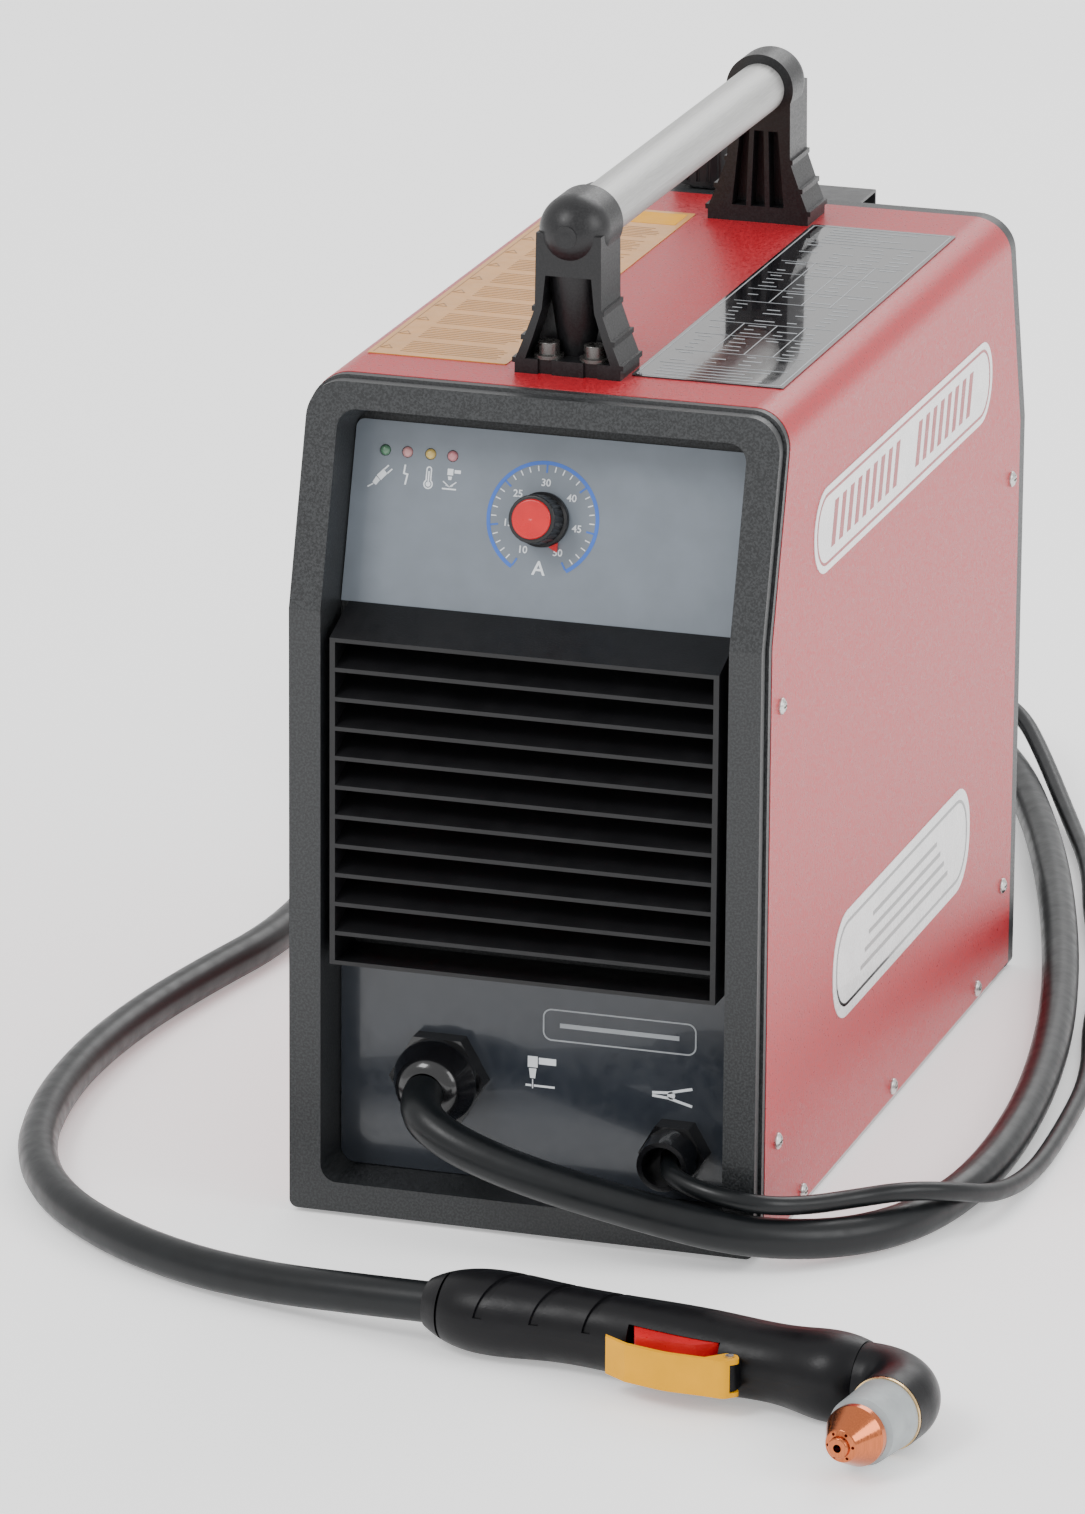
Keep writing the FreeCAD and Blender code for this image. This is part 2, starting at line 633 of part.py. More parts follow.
def make_works():
    tray = SIZES["sheetMetal"]
    base = box("sink_base", (-95, -120, 44), (8, 120, 52))
    fins = [box(f"sink_fin_{i}", (-95 + i * 7.2, -120, 12), (-92.8 + i * 7.2, 120, 44.1)) for i in range(15)]
    node(fuse("heat_sink", [base] + fins), "heat_sink")

    core = box("core_outer", (30, 20, tray), (100, 100, 66))
    windows = [box("core_left", (42, 10, 14), (56, 110, 54)), box("core_right", (74, 10, 14), (88, 110, 54))]
    transformer_core = cut("transformer_core", core, windows)
    coil_outer = box("winding_outer", (42.3, 8, 14.3), (87.7, 112, 53.7))
    leg = box("winding_leg", (55.8, 19.8, 10), (74.2, 100.2, 60))
    transformer_winding = cut("transformer_winding", coil_outer, [leg])

    ring = cut("choke_core_body", rod("choke_outer", (65, -70, 14), Z_AXIS, 30, 22), [
        rod("choke_bore", (65, -70, 10), Z_AXIS, 16, 30)])
    wrap = cut("choke_winding_body", rod("wrap_outer", (65, -70, 10), Z_AXIS, 34, 30), [
        rod("wrap_bore", (65, -70, 8), Z_AXIS, 12, 40),
        cut("wrap_room", rod("wrap_room_outer", (65, -70, 14), Z_AXIS, 30, 22), [
            rod("wrap_room_bore", (65, -70, 12), Z_AXIS, 16, 26)]),
    ])
    node(group("magnetic_cores", [transformer_core, ring]), "magnetic_cores")
    node(group("copper_windings", [transformer_winding, wrap]), "copper_windings")


FAN_FRONT = 171


def make_fan():
    half = SIZES["fanHalfWidth"]
    z = SIZES["fanCentreZ"]
    back = SIZES["rearSeam"] + REAR_PANEL_DEPTH - SIZES["sheetMetal"]
    square = rectangle(-half, z - half, half, z + half, 5)
    frame = prism("fan_block", "XZ_Plane", -back, back - FAN_FRONT, square, circle(0, z, 56))
    hub = rod("fan_hub", (0, back, z), -Y_AXIS, 19, 4)
    struts = []
    for i in range(4):
        strut = box(f"fan_strut_{i}", (0, 0, 0), (42, 3, 4))
        strut.Placement = Placement(Vector(0, back, z), Rotation(Y_AXIS, 45 + 90 * i)).multiply(
            Placement(Vector(17, -4, -2), Rotation()))
        struts.append(strut)
    pin = rod("fan_pin", (0, back - 3, z), -Y_AXIS, 2.5, 18)
    node(fuse("fan_frame", [frame, hub, pin] + struts), "fan_frame")

    rotor_front = FAN_FRONT + 2
    rotor_hub = cut("rotor_hub", rod("rotor_hub_outer", (0, rotor_front, z), Y_AXIS, 19, 17), [
        rod("rotor_bore", (0, rotor_front + 1.5, z), Y_AXIS, 2.55, 20)])
    blades = []
    for i in range(7):
        blade = box(f"rotor_blade_{i}", (0, 0, 0), (37, 2, 20))
        blade.Placement = Placement(Vector(0, rotor_front + 8.5, z), Rotation(Y_AXIS, 360 / 7 * i)).multiply(
            Placement(Vector(17.5, 0, 0), Rotation(X_AXIS, 52))).multiply(Placement(Vector(0, -1, -10), Rotation()))
        blades.append(blade)
    node(fuse("fan_rotor", [rotor_hub] + blades), "fan_rotor")

    guard_y = SIZES["rearSeam"] + REAR_PANEL_DEPTH + 2
    rings = []
    for i, radius in enumerate((14, 25, 36, 47, 58)):
        ring = doc.addObject("Part::Torus", f"guard_ring_{i}")
        bind(ring, Radius1=radius, Radius2=1.1)
        ring.Placement = Placement(Vector(0, guard_y, z), turned_to((0, 1, 0)))
        rings.append(ring)
    bars = []
    for i in range(4):
        angle = math.radians(45 + 90 * i)
        start = (14 * math.cos(angle), guard_y, z + 14 * math.sin(angle))
        bars.append(rod(f"guard_bar_{i}", start, (math.cos(angle), 0, math.sin(angle)), 1.2, 61))
        foot = (74 * math.cos(angle), guard_y - 2, z + 74 * math.sin(angle))
        bars.append(rod(f"guard_foot_{i}", foot, Y_AXIS, 4, 3.4))
    node(fuse("fan_guard", rings + bars), "fan_guard")


def make_rear_fittings():
    panel = SIZES["rearSeam"] + REAR_PANEL_DEPTH
    inside = panel - SIZES["sheetMetal"]
    block_low = (SWITCH_X - 20, inside - 34, SWITCH_Z - 20)
    block_high = (SWITCH_X + 20, inside, SWITCH_Z + 20)
    case = cut("switch_case", box("switch_block", block_low, block_high), [
        rod("switch_bore", (SWITCH_X, inside - 12, SWITCH_Z), Y_AXIS, 4.05, 14)])
    neck = cut("switch_neck", rod("switch_neck_outer", (SWITCH_X, inside - 1, SWITCH_Z), Y_AXIS, 8, 4), [
        rod("switch_neck_bore", (SWITCH_X, inside - 2, SWITCH_Z), Y_AXIS, 4.05, 8)])
    node(fuse("mains_switch_body", [case, neck]), "mains_switch_body")
    dial = rod("switch_dial", (SWITCH_X, panel + 2, SWITCH_Z), Y_AXIS, 17, 5)
    grip = box("switch_grip", (SWITCH_X - 3.5, panel + 6.9, SWITCH_Z - 16),
               (SWITCH_X + 3.5, panel + 19, SWITCH_Z + 16))
    spindle = rod("switch_spindle", (SWITCH_X, inside - 11.5, SWITCH_Z), Y_AXIS, 4, 15.5)
    node(fuse("mains_switch_knob", [dial, grip, spindle]), "mains_switch_knob")

    gland = cut("mains_gland_body", fuse("mains_gland_solid", [
        rod("mains_thread", (MAINS_X, inside - 12, MAINS_Z), Y_AXIS, 8, 14),
        hexagon("mains_hex", (MAINS_X, panel, MAINS_Z), Y_AXIS, 12.5, 7),
        cone("mains_dome", (MAINS_X, panel + 6.9, MAINS_Z), Y_AXIS, 10.5, 8.5, 14),
    ]), [rod("mains_plug_recess", (MAINS_X, panel + 17.9, MAINS_Z), Y_AXIS, 5, 10)])
    node(gland, "mains_gland")
    shelf = prism("rear_shelf", "YZ_Plane", -70, 104, outline([
        (200.6, 394.4), (200.2, 396), (236.5, 396, 2), (236.5, 372), (235, 372), (235, 394.4, 0.6),
    ]))
    neck_hole = rod("shelf_hole", (REGULATOR_X, REGULATOR_Y, 380), Z_AXIS, 9, 30)
    node(cut("rear_bracket", shelf, [neck_hole]), "rear_bracket")

    block = fuse("regulator_solid", [
        box("regulator_block", (REGULATOR_X - 19, 204.8, 336), (REGULATOR_X + 19, 231.4, 394.3)),
        rod("regulator_neck", (REGULATOR_X, REGULATOR_Y, 394), Z_AXIS, 8.9, 4.4),
        rod("regulator_stem", (REGULATOR_X, REGULATOR_Y, 394), Z_AXIS, 3, 20),
    ])
    inlet = rod("inlet_bore", (REGULATOR_X + 20, REGULATOR_Y, INLET_Z), -X_AXIS, 6.6, 13)
    node(cut("filter_regulator", block, [inlet]), "filter_regulator")
    knob = turning("regulator_knob_turn", [
        (0, 398.8), (17, 398.8), (16.2, 424, 2), (0, 424),
    ], (REGULATOR_X, REGULATOR_Y, 0), Z_AXIS)
    hollows = [rod("regulator_knob_bore", (REGULATOR_X, REGULATOR_Y, 398), Z_AXIS, 3.05, 16.5)]
    for i in range(20):
        angle = math.radians(18 * i)
        start = (REGULATOR_X + 17.2 * math.cos(angle), REGULATOR_Y + 17.2 * math.sin(angle), 401)
        hollows.append(rod(f"regulator_flute_{i}", start, Z_AXIS, 1.1, 30))
    node(cut("regulator_knob_body", knob, hollows), "regulator_knob")
    bowl = turning("bowl_turn", [(0, 284, 0), (7, 284, 3), (12.4, 291, 4), (12.4, 336), (0, 336)],
                   (REGULATOR_X, REGULATOR_Y, 0), Z_AXIS)
    node(bowl, "filter_bowl")

    gauge_z = 353
    gauge = cut("gauge_body", rod("gauge_case_outer", (REGULATOR_X, 231.4, gauge_z), Y_AXIS, 17, 15), [
        rod("gauge_room", (REGULATOR_X, 240, gauge_z), Y_AXIS, 15.5, 10)])
    pin = rod("gauge_pin", (REGULATOR_X, 239, gauge_z), Y_AXIS, 1, 3.6)
    node(fuse("pressure_gauge", [gauge, pin]), "pressure_gauge")
    hub = cut("needle_hub", fuse("needle_solid", [
        rod("needle_disc", (REGULATOR_X, 241.2, gauge_z), Y_AXIS, 2.6, 1.2),
        box("needle_arm", (REGULATOR_X - 0.6, 241.4, gauge_z), (REGULATOR_X + 0.6, 242.2, gauge_z + 12)),
    ]), [rod("needle_bore", (REGULATOR_X, 240, gauge_z), Y_AXIS, 1.05, 5)])
    hub.Placement = Placement(Vector(0, 0, 0), Rotation(Y_AXIS, 130), Vector(REGULATOR_X, 0, gauge_z))
    node(hub, "gauge_needle")

    valve = fuse("valve_solid", [
        box("valve_block", (REGULATOR_X - 14, 122, AIR_Z - 14), (REGULATOR_X + 14, 160, AIR_Z + 14)),
        rod("valve_coil", (REGULATOR_X, 141, AIR_Z - 13.9), -Z_AXIS, 13, 34),
        rod("valve_nipple", (REGULATOR_X, 159.9, AIR_Z), Y_AXIS, 6.8, 44.8),
    ])
    node(valve, "solenoid_valve")


# ---------------------------------------------------------------- glands and leads

def make_glands():
    back = FRONT + SIZES["recessDepth"] - 1.2
    x, z = SIZES["torchGlandX"], SIZES["torchGlandZ"]
    lead = SIZES["torchLeadRadius"]
    profile = [(0, 0), (20.5, 0), (20.5, 12, 4), (13.5, 27.8, 9), (0, 27.8)]
    dome = turning("torch_dome", profile, (x, back, z), -Y_AXIS)
    body = fuse("torch_gland_solid", [
        hexagon("torch_gland_hex", (x, back, z), -Y_AXIS, 23.5, 9), dome,
        rod("torch_gland_thread", (x, back + 16, z), -Y_AXIS, 13, 16.5),
    ])
    bore = rod("torch_gland_bore", (x, back + 20, z), -Y_AXIS, "torchLeadRadius", 60)
    node(cut("torch_gland", body, [bore]), "torch_gland")

    x, z = SIZES["earthGlandX"], SIZES["earthGlandZ"]
    body = fuse("earth_gland_solid", [
        hexagon("earth_gland_hex", (x, back, z), -Y_AXIS, 16.2, 11),
        cone("earth_gland_cone", (x, back - 10.9, z), -Y_AXIS, 13.6, 12, 16),
        rod("earth_gland_thread", (x, back + 14, z), -Y_AXIS, 8, 14.5),
    ])
    node(cut("earth_gland", body, [
        rod("earth_gland_bore", (x, back + 20, z), -Y_AXIS, "earthLeadRadius", 60),
        rod("earth_gland_mouth", (x, back - 13, z), -Y_AXIS, 9.6, 30),
    ]), "earth_gland")

    inner_wall = FRONT + SIZES["recessDepth"] + 3
    panel = SIZES["rearSeam"] + REAR_PANEL_DEPTH - SIZES["sheetMetal"]
    nuts = []
    for name, at, direction, across, thread in (
            ("torch", (SIZES["torchGlandX"], inner_wall, SIZES["torchGlandZ"]), Y_AXIS, 19, 13),
            ("earth", (x, inner_wall, z), Y_AXIS, 12.5, 8),
            ("mains", (MAINS_X, panel, MAINS_Z), -Y_AXIS, 12, 8)):
        outer = hexagon(name + "_nut_outer", at, direction, across, 5)
        bore = rod(name + "_nut_bore", at, direction, thread, 5)
        nuts.append(cut(name + "_nut", outer, [bore]))
    node(group("gland_nuts", nuts), "gland_nuts")


def rounded_sweep(name, route, radius, share=0.45):
    """A round bar along straight runs joined by tangent arcs, and its length.

    Each arc takes up this share of the shorter run beside it.
    """
    points = [Vector(*p) for p in route]
    edges = []
    at = points[0]
    bends = []
    for back, here, on in zip(points, points[1:], points[2:]):
        reach = share * min(back.distanceToPoint(here), here.distanceToPoint(on))
        to_back = (back - here).normalize()
        to_on = (on - here).normalize()
        half_turn = (math.pi - to_back.getAngle(to_on)) / 2
        bend = reach / math.tan(half_turn)
        bends.append(round(bend))
        middle = (to_back + to_on).normalize()
        first, last = here + to_back * reach, here + to_on * reach
        crown = here + middle * (bend / math.cos(half_turn) - bend)
        edges.append(Part.LineSegment(at, first).toShape())
        edges.append(Part.Arc(first, crown, last).toShape())
        at = last
    edges.append(Part.LineSegment(at, points[-1]).toShape())
    spine = Part.Wire(edges)
    section = Part.Face(Part.Wire(Part.makeCircle(radius, points[0], points[1] - points[0])))
    bar = doc.addObject("Part::Feature", name)
    bar.Shape = spine.makePipe(section)
    length = spine.Length
    ratio = bar.Shape.Volume / (math.pi * radius ** 2 * length)
    print(f"{name}: length {length:.0f}, bends {bends}, volume ratio {ratio:.4f}")
    return bar, length


def lead_tube(name, route, radius):
    bar, length = rounded_sweep(name, route, radius)
    node(bar, name)
    return length


def coil_ring(name, centre, middle_radius, lead_radius, turns):
    """The closed ring that holds all the turns of a coil that lies on the floor."""
    height = 2 * lead_radius * (turns + 1)
    outer = rod(name + "_outer", (centre[0], centre[1], 0.1), Z_AXIS, middle_radius + lead_radius, height)
    inner = rod(name + "_inner", (centre[0], centre[1], -1), Z_AXIS, middle_radius - lead_radius, height + 5)
    node(cut(name, outer, [inner]), name)
    return 2 * math.pi * middle_radius * turns


# Routes of the leads' centrelines. The scene repeats them point for point.
TORCH_TO_COIL = [
    (-47.5, -229, 65), (-46, -247, 62), (-25, -257, 52), (12, -259, 41), (62, -255, 29.5), (112, -245, 17.5),
    (153, -213, 10.6), (180, -168, 9.6), (191, -95, 9.6), (183.7, 25, 9.6), (156.4, 172, 9.6), (104, 355, 9.6),
    (52, 492, 9.6), (14, 562, 9.6), (-26, 618, 9.6), (-75, 662, 9.6), (-128, 688.7, 9.6),
]
COIL_TO_TORCH = [
    (-299, 590, 54), (-299, 535, 49.5), (-293, 465, 36), (-280, 390, 19.5), (-262, 305, 10.4), (-246, 215, 9.6),
    (-242, 125, 9.6), (-257, 50, 9.6), (-267, -20, 9.6), (-269, -90, 9.6), (-262, -155, 9.6), (-246, -218, 9.6),
    (-216, -272, 9.6), (-172, -313, 9.6), (-124, -340, 9.8), (-79, -355, 11.8), (-36, -366, 15.9),
    (3.7, -372.5, 18.6),
]
EARTH_TO_COIL = [
    (68, -212, 41.3), (70.5, -229, 40), (84, -238.5, 37.5), (103, -242.5, 35), (122, -238, 32), (137, -220, 28),
    (153, -199, 26), (173, -184, 27), (191, -164, 22), (203, -133, 11), (208, -85, 4.6), (206, -20, 4.6),
    (199, 60, 4.6), (178.5, 140, 4.6), (166, 220, 4.6), (137.5, 300, 4.6), (116.5, 380, 4.6), (89.5, 446, 5.8),
    (51, 529, 18),
    (30, 566, 26), (6, 590, 28.5), (-24, 594, 27), (-46, 574, 18), (-54, 538, 8), (-55, 480, 4.6),
    (-52, 418, 4.6), (-45, 360, 4.6),
]
COIL_TO_CLAMP = [
    (9, 414, 47.4), (-14, 414.5, 45), (-37, 413, 38), (-56, 408, 28), (-72, 402, 19), (-88, 397.5, 13),
]
TORCH_COIL = {"centre": (-185, 590), "middle_radius": 114, "turns": 2 + 120 / 360}
EARTH_COIL = {"centre": (9, 360), "middle_radius": 54, "turns": 4.75}


def make_leads():
    torch, earth = SIZES["torchLeadRadius"], SIZES["earthLeadRadius"]
    first = lead_tube("torch_lead", TORCH_TO_COIL, torch)
    coiled = coil_ring("torch_lead_coil", lead_radius=torch, **TORCH_COIL)
    last = lead_tube("torch_lead_end", COIL_TO_TORCH, torch)
    print("torch lead in all", round(first + coiled + last))
    first = lead_tube("earth_lead", EARTH_TO_COIL, earth)
    coiled = coil_ring("earth_lead_coil", lead_radius=earth, **EARTH_COIL)
    last = lead_tube("earth_lead_end", COIL_TO_CLAMP, earth)
    print("earth lead in all", round(first + coiled + last))


# ---------------------------------------------------------------- torch

# The torch lies on its side. Its own X runs along the handle, -Y is the trigger side, Z is up.
TORCH = Placement(Vector(3.7, -372.5, 18.6), Rotation(Z_AXIS, -6.7))
HANDLE_SECTIONS = [
    # along, across, half depth, half height
    (0, 0, 11.5, 11.5), (6, 0, 15, 14.5), (16, 0, 19, 17.6), (60, 1.5, 18.6, 18), (95, 0, 17.4, 18),
    (140, -2.5, 20.4, 18.4), (180, -4.5, 20, 18.2), (214, -6, 17.6, 17.8),
]


def section_wire(along, across, half_depth, half_height):
    ellipse = Part.Ellipse(Vector(0, 0, 0), max(half_depth, half_height) + 0.01, min(half_depth, half_height))
    shape = ellipse.toShape()
    turn = Rotation(Vector(0, 1, 0), Vector(0, 0, 1), Vector(1, 0, 0), "ZXY")
    if half_height > half_depth:
        turn = Rotation(Vector(0, 0, 1), Vector(0, -1, 0), Vector(1, 0, 0), "ZXY")
    shape.Placement = Placement(Vector(along, across, 0), turn)
    return Part.Wire([shape])


def handle_loft(name, shrink=0):
    wires = [section_wire(a, c, d - shrink, h - shrink) for a, c, d, h in HANDLE_SECTIONS]
    obj = doc.addObject("Part::Feature", name)
    obj.Shape = Part.makeLoft(wires, True, False)
    return obj


GROOVE_HALF = 2


def make_torch():
    loft = handle_loft("handle_loft")
    core = handle_loft("handle_core", 1.3)
    slots = []
    for i, along in enumerate((40, 65, 90)):
        slab = box(f"groove_slab_{i}", (-GROOVE_HALF, -30, 4), (GROOVE_HALF, 30, 30))
        slab.Placement = Placement(Vector(along, 0, 0), Rotation(Z_AXIS, -22)).multiply(slab.Placement)
        slots.append(cut(f"groove_{i}", slab, [core]))
    slots.append(cut("collar_groove", box("collar_slab", (9, -30, -30), (10.4, 30, 30)), [core]))
    trigger_room = box("trigger_room", (104, -40, -5.4), (150, -7, 11.4))
    lead_bore = rod("handle_lead_bore", (-5, 0, 0), X_AXIS, "torchLeadRadius", 30)
    pins = [
        rod("lever_pin_hole", (158, -26.5, -15), Z_AXIS, 2.05, 30),
        rod("trigger_pin_hole", (146, -15, -8), Z_AXIS, 1.55, 21),
    ]
    lug = fuse("lever_lug", [
        box("lever_lug_block", (154.4, -26.5, -6.2), (161.6, -16, 6.2)),
        rod("lever_lug_round", (158, -26.5, -6.2), Z_AXIS, 3.6, 12.4),
    ])
    solid = cut("handle_solid", fuse("handle_whole", [loft, lug]), slots + [trigger_room, lead_bore] + pins)
    for name, low, high in (("torch_handle_top", 0, 40), ("torch_handle_bottom", -40, 0)):
        half = common(name, [solid, box(name + "_side", (-10, -60, low), (260, 60, high))])
        half.Placement = TORCH
        node(half, name)

    trigger = prism("trigger_shape", "XY_Plane", -5, 16, outline([
        (106, -13), (112, -12), (149, -12.2), (149, -18), (140, -25.5, 6), (112, -26.5, 4),
    ]))
    trigger_cut = cut("trigger_body", trigger, [rod("trigger_pin_room", (146, -15, -10), Z_AXIS, 1.55, 24)])
    trigger_cut.Placement = TORCH
    node(trigger_cut, "torch_trigger")

    pins = fuse("torch_pins_solid", [
        rod("lever_pin", (158, -26.5, -9.6), Z_AXIS, 2, 19.2),
        rod("trigger_pin", (146, -15, -8), Z_AXIS, 1.5, 21),
    ])
    pins.Placement = TORCH
    node(pins, "torch_pins")

    lever = cut("lever_body", fuse("lever_solid", [
        prism("lever_plate", "XY_Plane", -8.8, 17.6, outline([
            (97, -24), (98, -26.5), (110, -32.6), (130, -35.6, 40), (151.5, -33.5),
            (151.5, -31), (130, -32.8, 40), (110, -30),
        ])),
        prism("lever_arms", "XY_Plane", -8.8, 17.6, outline([
            (148, -33.8), (158, -33.4, 4), (163.4, -27.5, 3), (160.2, -22.8, 2), (155, -22.8, 2), (148, -31.2),
        ])),
    ]), [
        box("lever_gap", (140, -31.1, -6.6), (170, -10, 6.6)),
        rod("lever_pin_room", (158, -26.5, -15), Z_AXIS, 2.05, 30),
    ])
    lever.Placement = TORCH
    node(lever, "torch_safety_lever")

    nozzle_way = Vector(238.2 - 240.4, -39 + 6, 0).normalize()
    elbow, _ = rounded_sweep("head_elbow", [(214.1, -6, 0), (240.4, -6, 0), (238.2, -39, 0)], 17.2, 0.85)
    elbow.Placement = TORCH
    node(elbow, "torch_head")

    start = Vector(238.2, -39, 0)
    nose = Placement(start, turned_to(nozzle_way))

    def nose_piece(name, profile):
        piece = turning(name + "_turn", profile, (0, 0, 0), Z_AXIS)
        piece.Placement = TORCH.multiply(nose)
        node(piece, name)

    nose_piece("torch_ring", [(6, 0), (17, 0), (17, 1.6), (6, 1.6)])
    nose_piece("torch_shield", [(6, 1.6), (16.4, 1.6), (15.6, 25), (12, 28), (10.5, 28), (10.5, 20), (6, 18)])
    nozzle = cut("nozzle_solid", turning("nozzle_turn", [
        (1.9, 44), (1.9, 38), (7.5, 34), (7.5, 28.2), (14, 28.2), (14, 31.5, 1), (7.4, 45, 0.8), (5, 45.6),
        (4.6, 48.4, 0.8), (1.9, 48.4),
    ], (0, 0, 0), Z_AXIS), [
        rod(f"nozzle_hole_{i}", (6.1 * math.cos(turn), 6.1 * math.sin(turn), 42), Z_AXIS, 0.7, 9)
        for i, turn in enumerate(math.radians(60 * n) for n in range(6))
    ])
    nozzle.Placement = TORCH.multiply(nose)
    node(nozzle, "torch_nozzle")
    nose_piece("torch_electrode", [(0, 2), (5.2, 2), (5.2, 33), (2.5, 37), (0, 37)])


# ---------------------------------------------------------------- earth clamp

CLAMP = Placement(Vector(-140, 401, -1.9), Rotation())


def jaw_outline(sign):
    """One jaw from above: handle to the right, nose to the left."""
    return outline([
        (-62, sign * 1.2), (-62, sign * 9), (-40, sign * 18, 12), (-12, sign * 13), (12, sign * 13),
        (52, sign * 27), (62, sign * 27), (62, sign * 21.5), (52, sign * 21.5), (14, sign * 8.5),
        (-14, sign * 8.5),
        (-38, sign * 12.5, 8), (-56, sign * 1.2),
    ])


def make_clamp():
    def jaw(name, sign, levels):
        plate = prism(name + "_plate", "XY_Plane", 3, 23, jaw_outline(sign))
        ears = []
        for i, (low, high) in enumerate(levels):
            edge = sorted((sign * 13, 0))
            ears.append(box(f"{name}_ear_{i}", (-7, edge[0], low), (7, edge[1], high)))
            ears.append(rod(f"{name}_eye_{i}", (0, 0, low), Z_AXIS, 7, high - low))
        return [plate] + ears

    fixed_levels = ((3, 5.5), (23.5, 26))
    moving_levels = ((5.9, 8.4), (20.6, 23.1))
    fixed = jaw("clamp_fixed", -1, fixed_levels)
    lug = box("clamp_lug", (44, -21.4, 8), (52, 2, 21))
    fixed_body = cut("clamp_jaw_fixed", fuse("clamp_fixed_solid", fixed + [lug]), [
        rod("fixed_eye", (0, 0, 0), Z_AXIS, 3, 40)])
    fixed_body.Placement = CLAMP
    node(fixed_body, "clamp_jaw_fixed")
    moving = jaw("clamp_moving", 1, moving_levels)
    moving_body = cut("clamp_jaw_moving", fuse("clamp_moving_solid", moving), [
        rod("moving_eye", (0, 0, 0), Z_AXIS, 3.05, 40)])
    moving_body.Placement = CLAMP
    node(moving_body, "clamp_jaw_moving")
    pin = rod("clamp_pin", (0, 0, 2), Z_AXIS, 3, 25)
    pin.Placement = CLAMP.multiply(Placement(Vector(0, 0, 2), Rotation()))
    node(pin, "clamp_pin")
    spring = cut("clamp_spring_body", rod("spring_outer", (0, 0, 8.8), Z_AXIS, 7.5, 11.4), [
        rod("spring_bore", (0, 0, 0), Z_AXIS, 3.2, 30)])
    spring.Placement = CLAMP
    node(spring, "clamp_spring")


make_cover()
make_base_tray()
make_front_bezel()
make_rear_bezel()
make_rear_panel()
make_plates()
make_grille()
make_side_screws()
make_labels()
make_handle()
make_controls()
make_works()
make_fan()
make_rear_fittings()
make_glands()
make_leads()
make_torch()
make_clamp()
doc.recompute()

# ---------------------------------------------------------------- checks and files

for obj in doc.Objects:
    if "Invalid" in obj.State or "Error" in obj.State:
        raise RuntimeError(f"{obj.Name} did not compute: {obj.State}")
os.makedirs("parts", exist_ok=True)
for obj in exports:
    shape = obj.Shape
    if shape.isNull() or not shape.isValid() or not shape.Solids:
        raise RuntimeError(f"{obj.Label} has no valid solid")
    shape.exportStep(f"parts/{obj.Label}.step")
print(len(exports), "sub-parts written")
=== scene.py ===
"""Looks of the inverter plasma cutter: its camera, leads, materials, printing and studio."""

import math
import random

import bmesh
import bpy
from mathutils import Matrix, Vector


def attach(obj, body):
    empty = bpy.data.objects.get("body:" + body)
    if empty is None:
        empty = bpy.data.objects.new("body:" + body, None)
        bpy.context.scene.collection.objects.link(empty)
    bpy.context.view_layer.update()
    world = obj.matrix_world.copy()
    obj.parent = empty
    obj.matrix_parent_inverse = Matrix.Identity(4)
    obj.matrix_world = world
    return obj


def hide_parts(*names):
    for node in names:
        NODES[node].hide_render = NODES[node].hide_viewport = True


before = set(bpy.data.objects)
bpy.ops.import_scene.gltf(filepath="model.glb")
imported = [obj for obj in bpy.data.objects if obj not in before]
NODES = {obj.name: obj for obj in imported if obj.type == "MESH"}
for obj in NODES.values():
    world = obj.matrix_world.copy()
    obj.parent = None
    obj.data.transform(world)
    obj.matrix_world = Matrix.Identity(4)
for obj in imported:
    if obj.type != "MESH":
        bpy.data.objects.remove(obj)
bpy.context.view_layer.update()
MM = 0.001
LEAN = math.atan2(29.5, 104)    # the control plate leans back by 29.5 mm over 104 mm of height


# ---------------------------------------------------------------- camera

CAMERA_AZIMUTH, CAMERA_ELEVATION, CAMERA_ROLL = 17.56, 17.33, 0.41
CAMERA_TARGET = (9.6, -230, 234.9)
CAMERA_DISTANCE = 4290
SENSOR_WIDTH = 36
FOCAL_PER_WIDTH = 9365 / 1085


def make_camera():
    """Telephoto view from the front right and above, with a slight roll."""
    azimuth, elevation, roll = (math.radians(a) for a in (CAMERA_AZIMUTH, CAMERA_ELEVATION, CAMERA_ROLL))
    right = Vector((math.cos(azimuth), math.sin(azimuth), 0))
    ahead = Vector((-math.sin(azimuth), math.cos(azimuth), 0))
    look = ahead * math.cos(elevation) - Vector((0, 0, math.sin(elevation)))
    up = right.cross(look)
    turned_right = right * math.cos(roll) + up * math.sin(roll)
    turned_up = up * math.cos(roll) - right * math.sin(roll)
    place = (Vector(CAMERA_TARGET) - look * CAMERA_DISTANCE) * MM
    camera = bpy.data.objects.new("camera", bpy.data.cameras.new("camera"))
    camera.matrix_world = Matrix((
        (turned_right.x, turned_up.x, -look.x, place.x),
        (turned_right.y, turned_up.y, -look.y, place.y),
        (turned_right.z, turned_up.z, -look.z, place.z),
        (0, 0, 0, 1),
    ))
    camera.data.sensor_fit = "HORIZONTAL"
    camera.data.sensor_width = SENSOR_WIDTH
    camera.data.lens = SENSOR_WIDTH * FOCAL_PER_WIDTH
    camera.data.clip_end = 50
    bpy.context.scene.collection.objects.link(camera)
    bpy.context.scene.camera = camera


make_camera()


# ---------------------------------------------------------------- leads

TORCH_RADIUS, EARTH_RADIUS = 9.5, 4.5
TORCH_REST, EARTH_REST = 9.6, 4.6    # height of a lead's middle where it lies on the floor
TURN_POINTS = 16
TORCH_COIL = {
    "centre": (-185, 590), "radius": 114, "start": 60, "sweep": 840, "low": TORCH_REST, "high": 54,
}
EARTH_COIL = {
    "centre": (9, 360), "radius": 54, "start": 180, "sweep": 1710, "low": EARTH_REST, "high": 47.4,
}

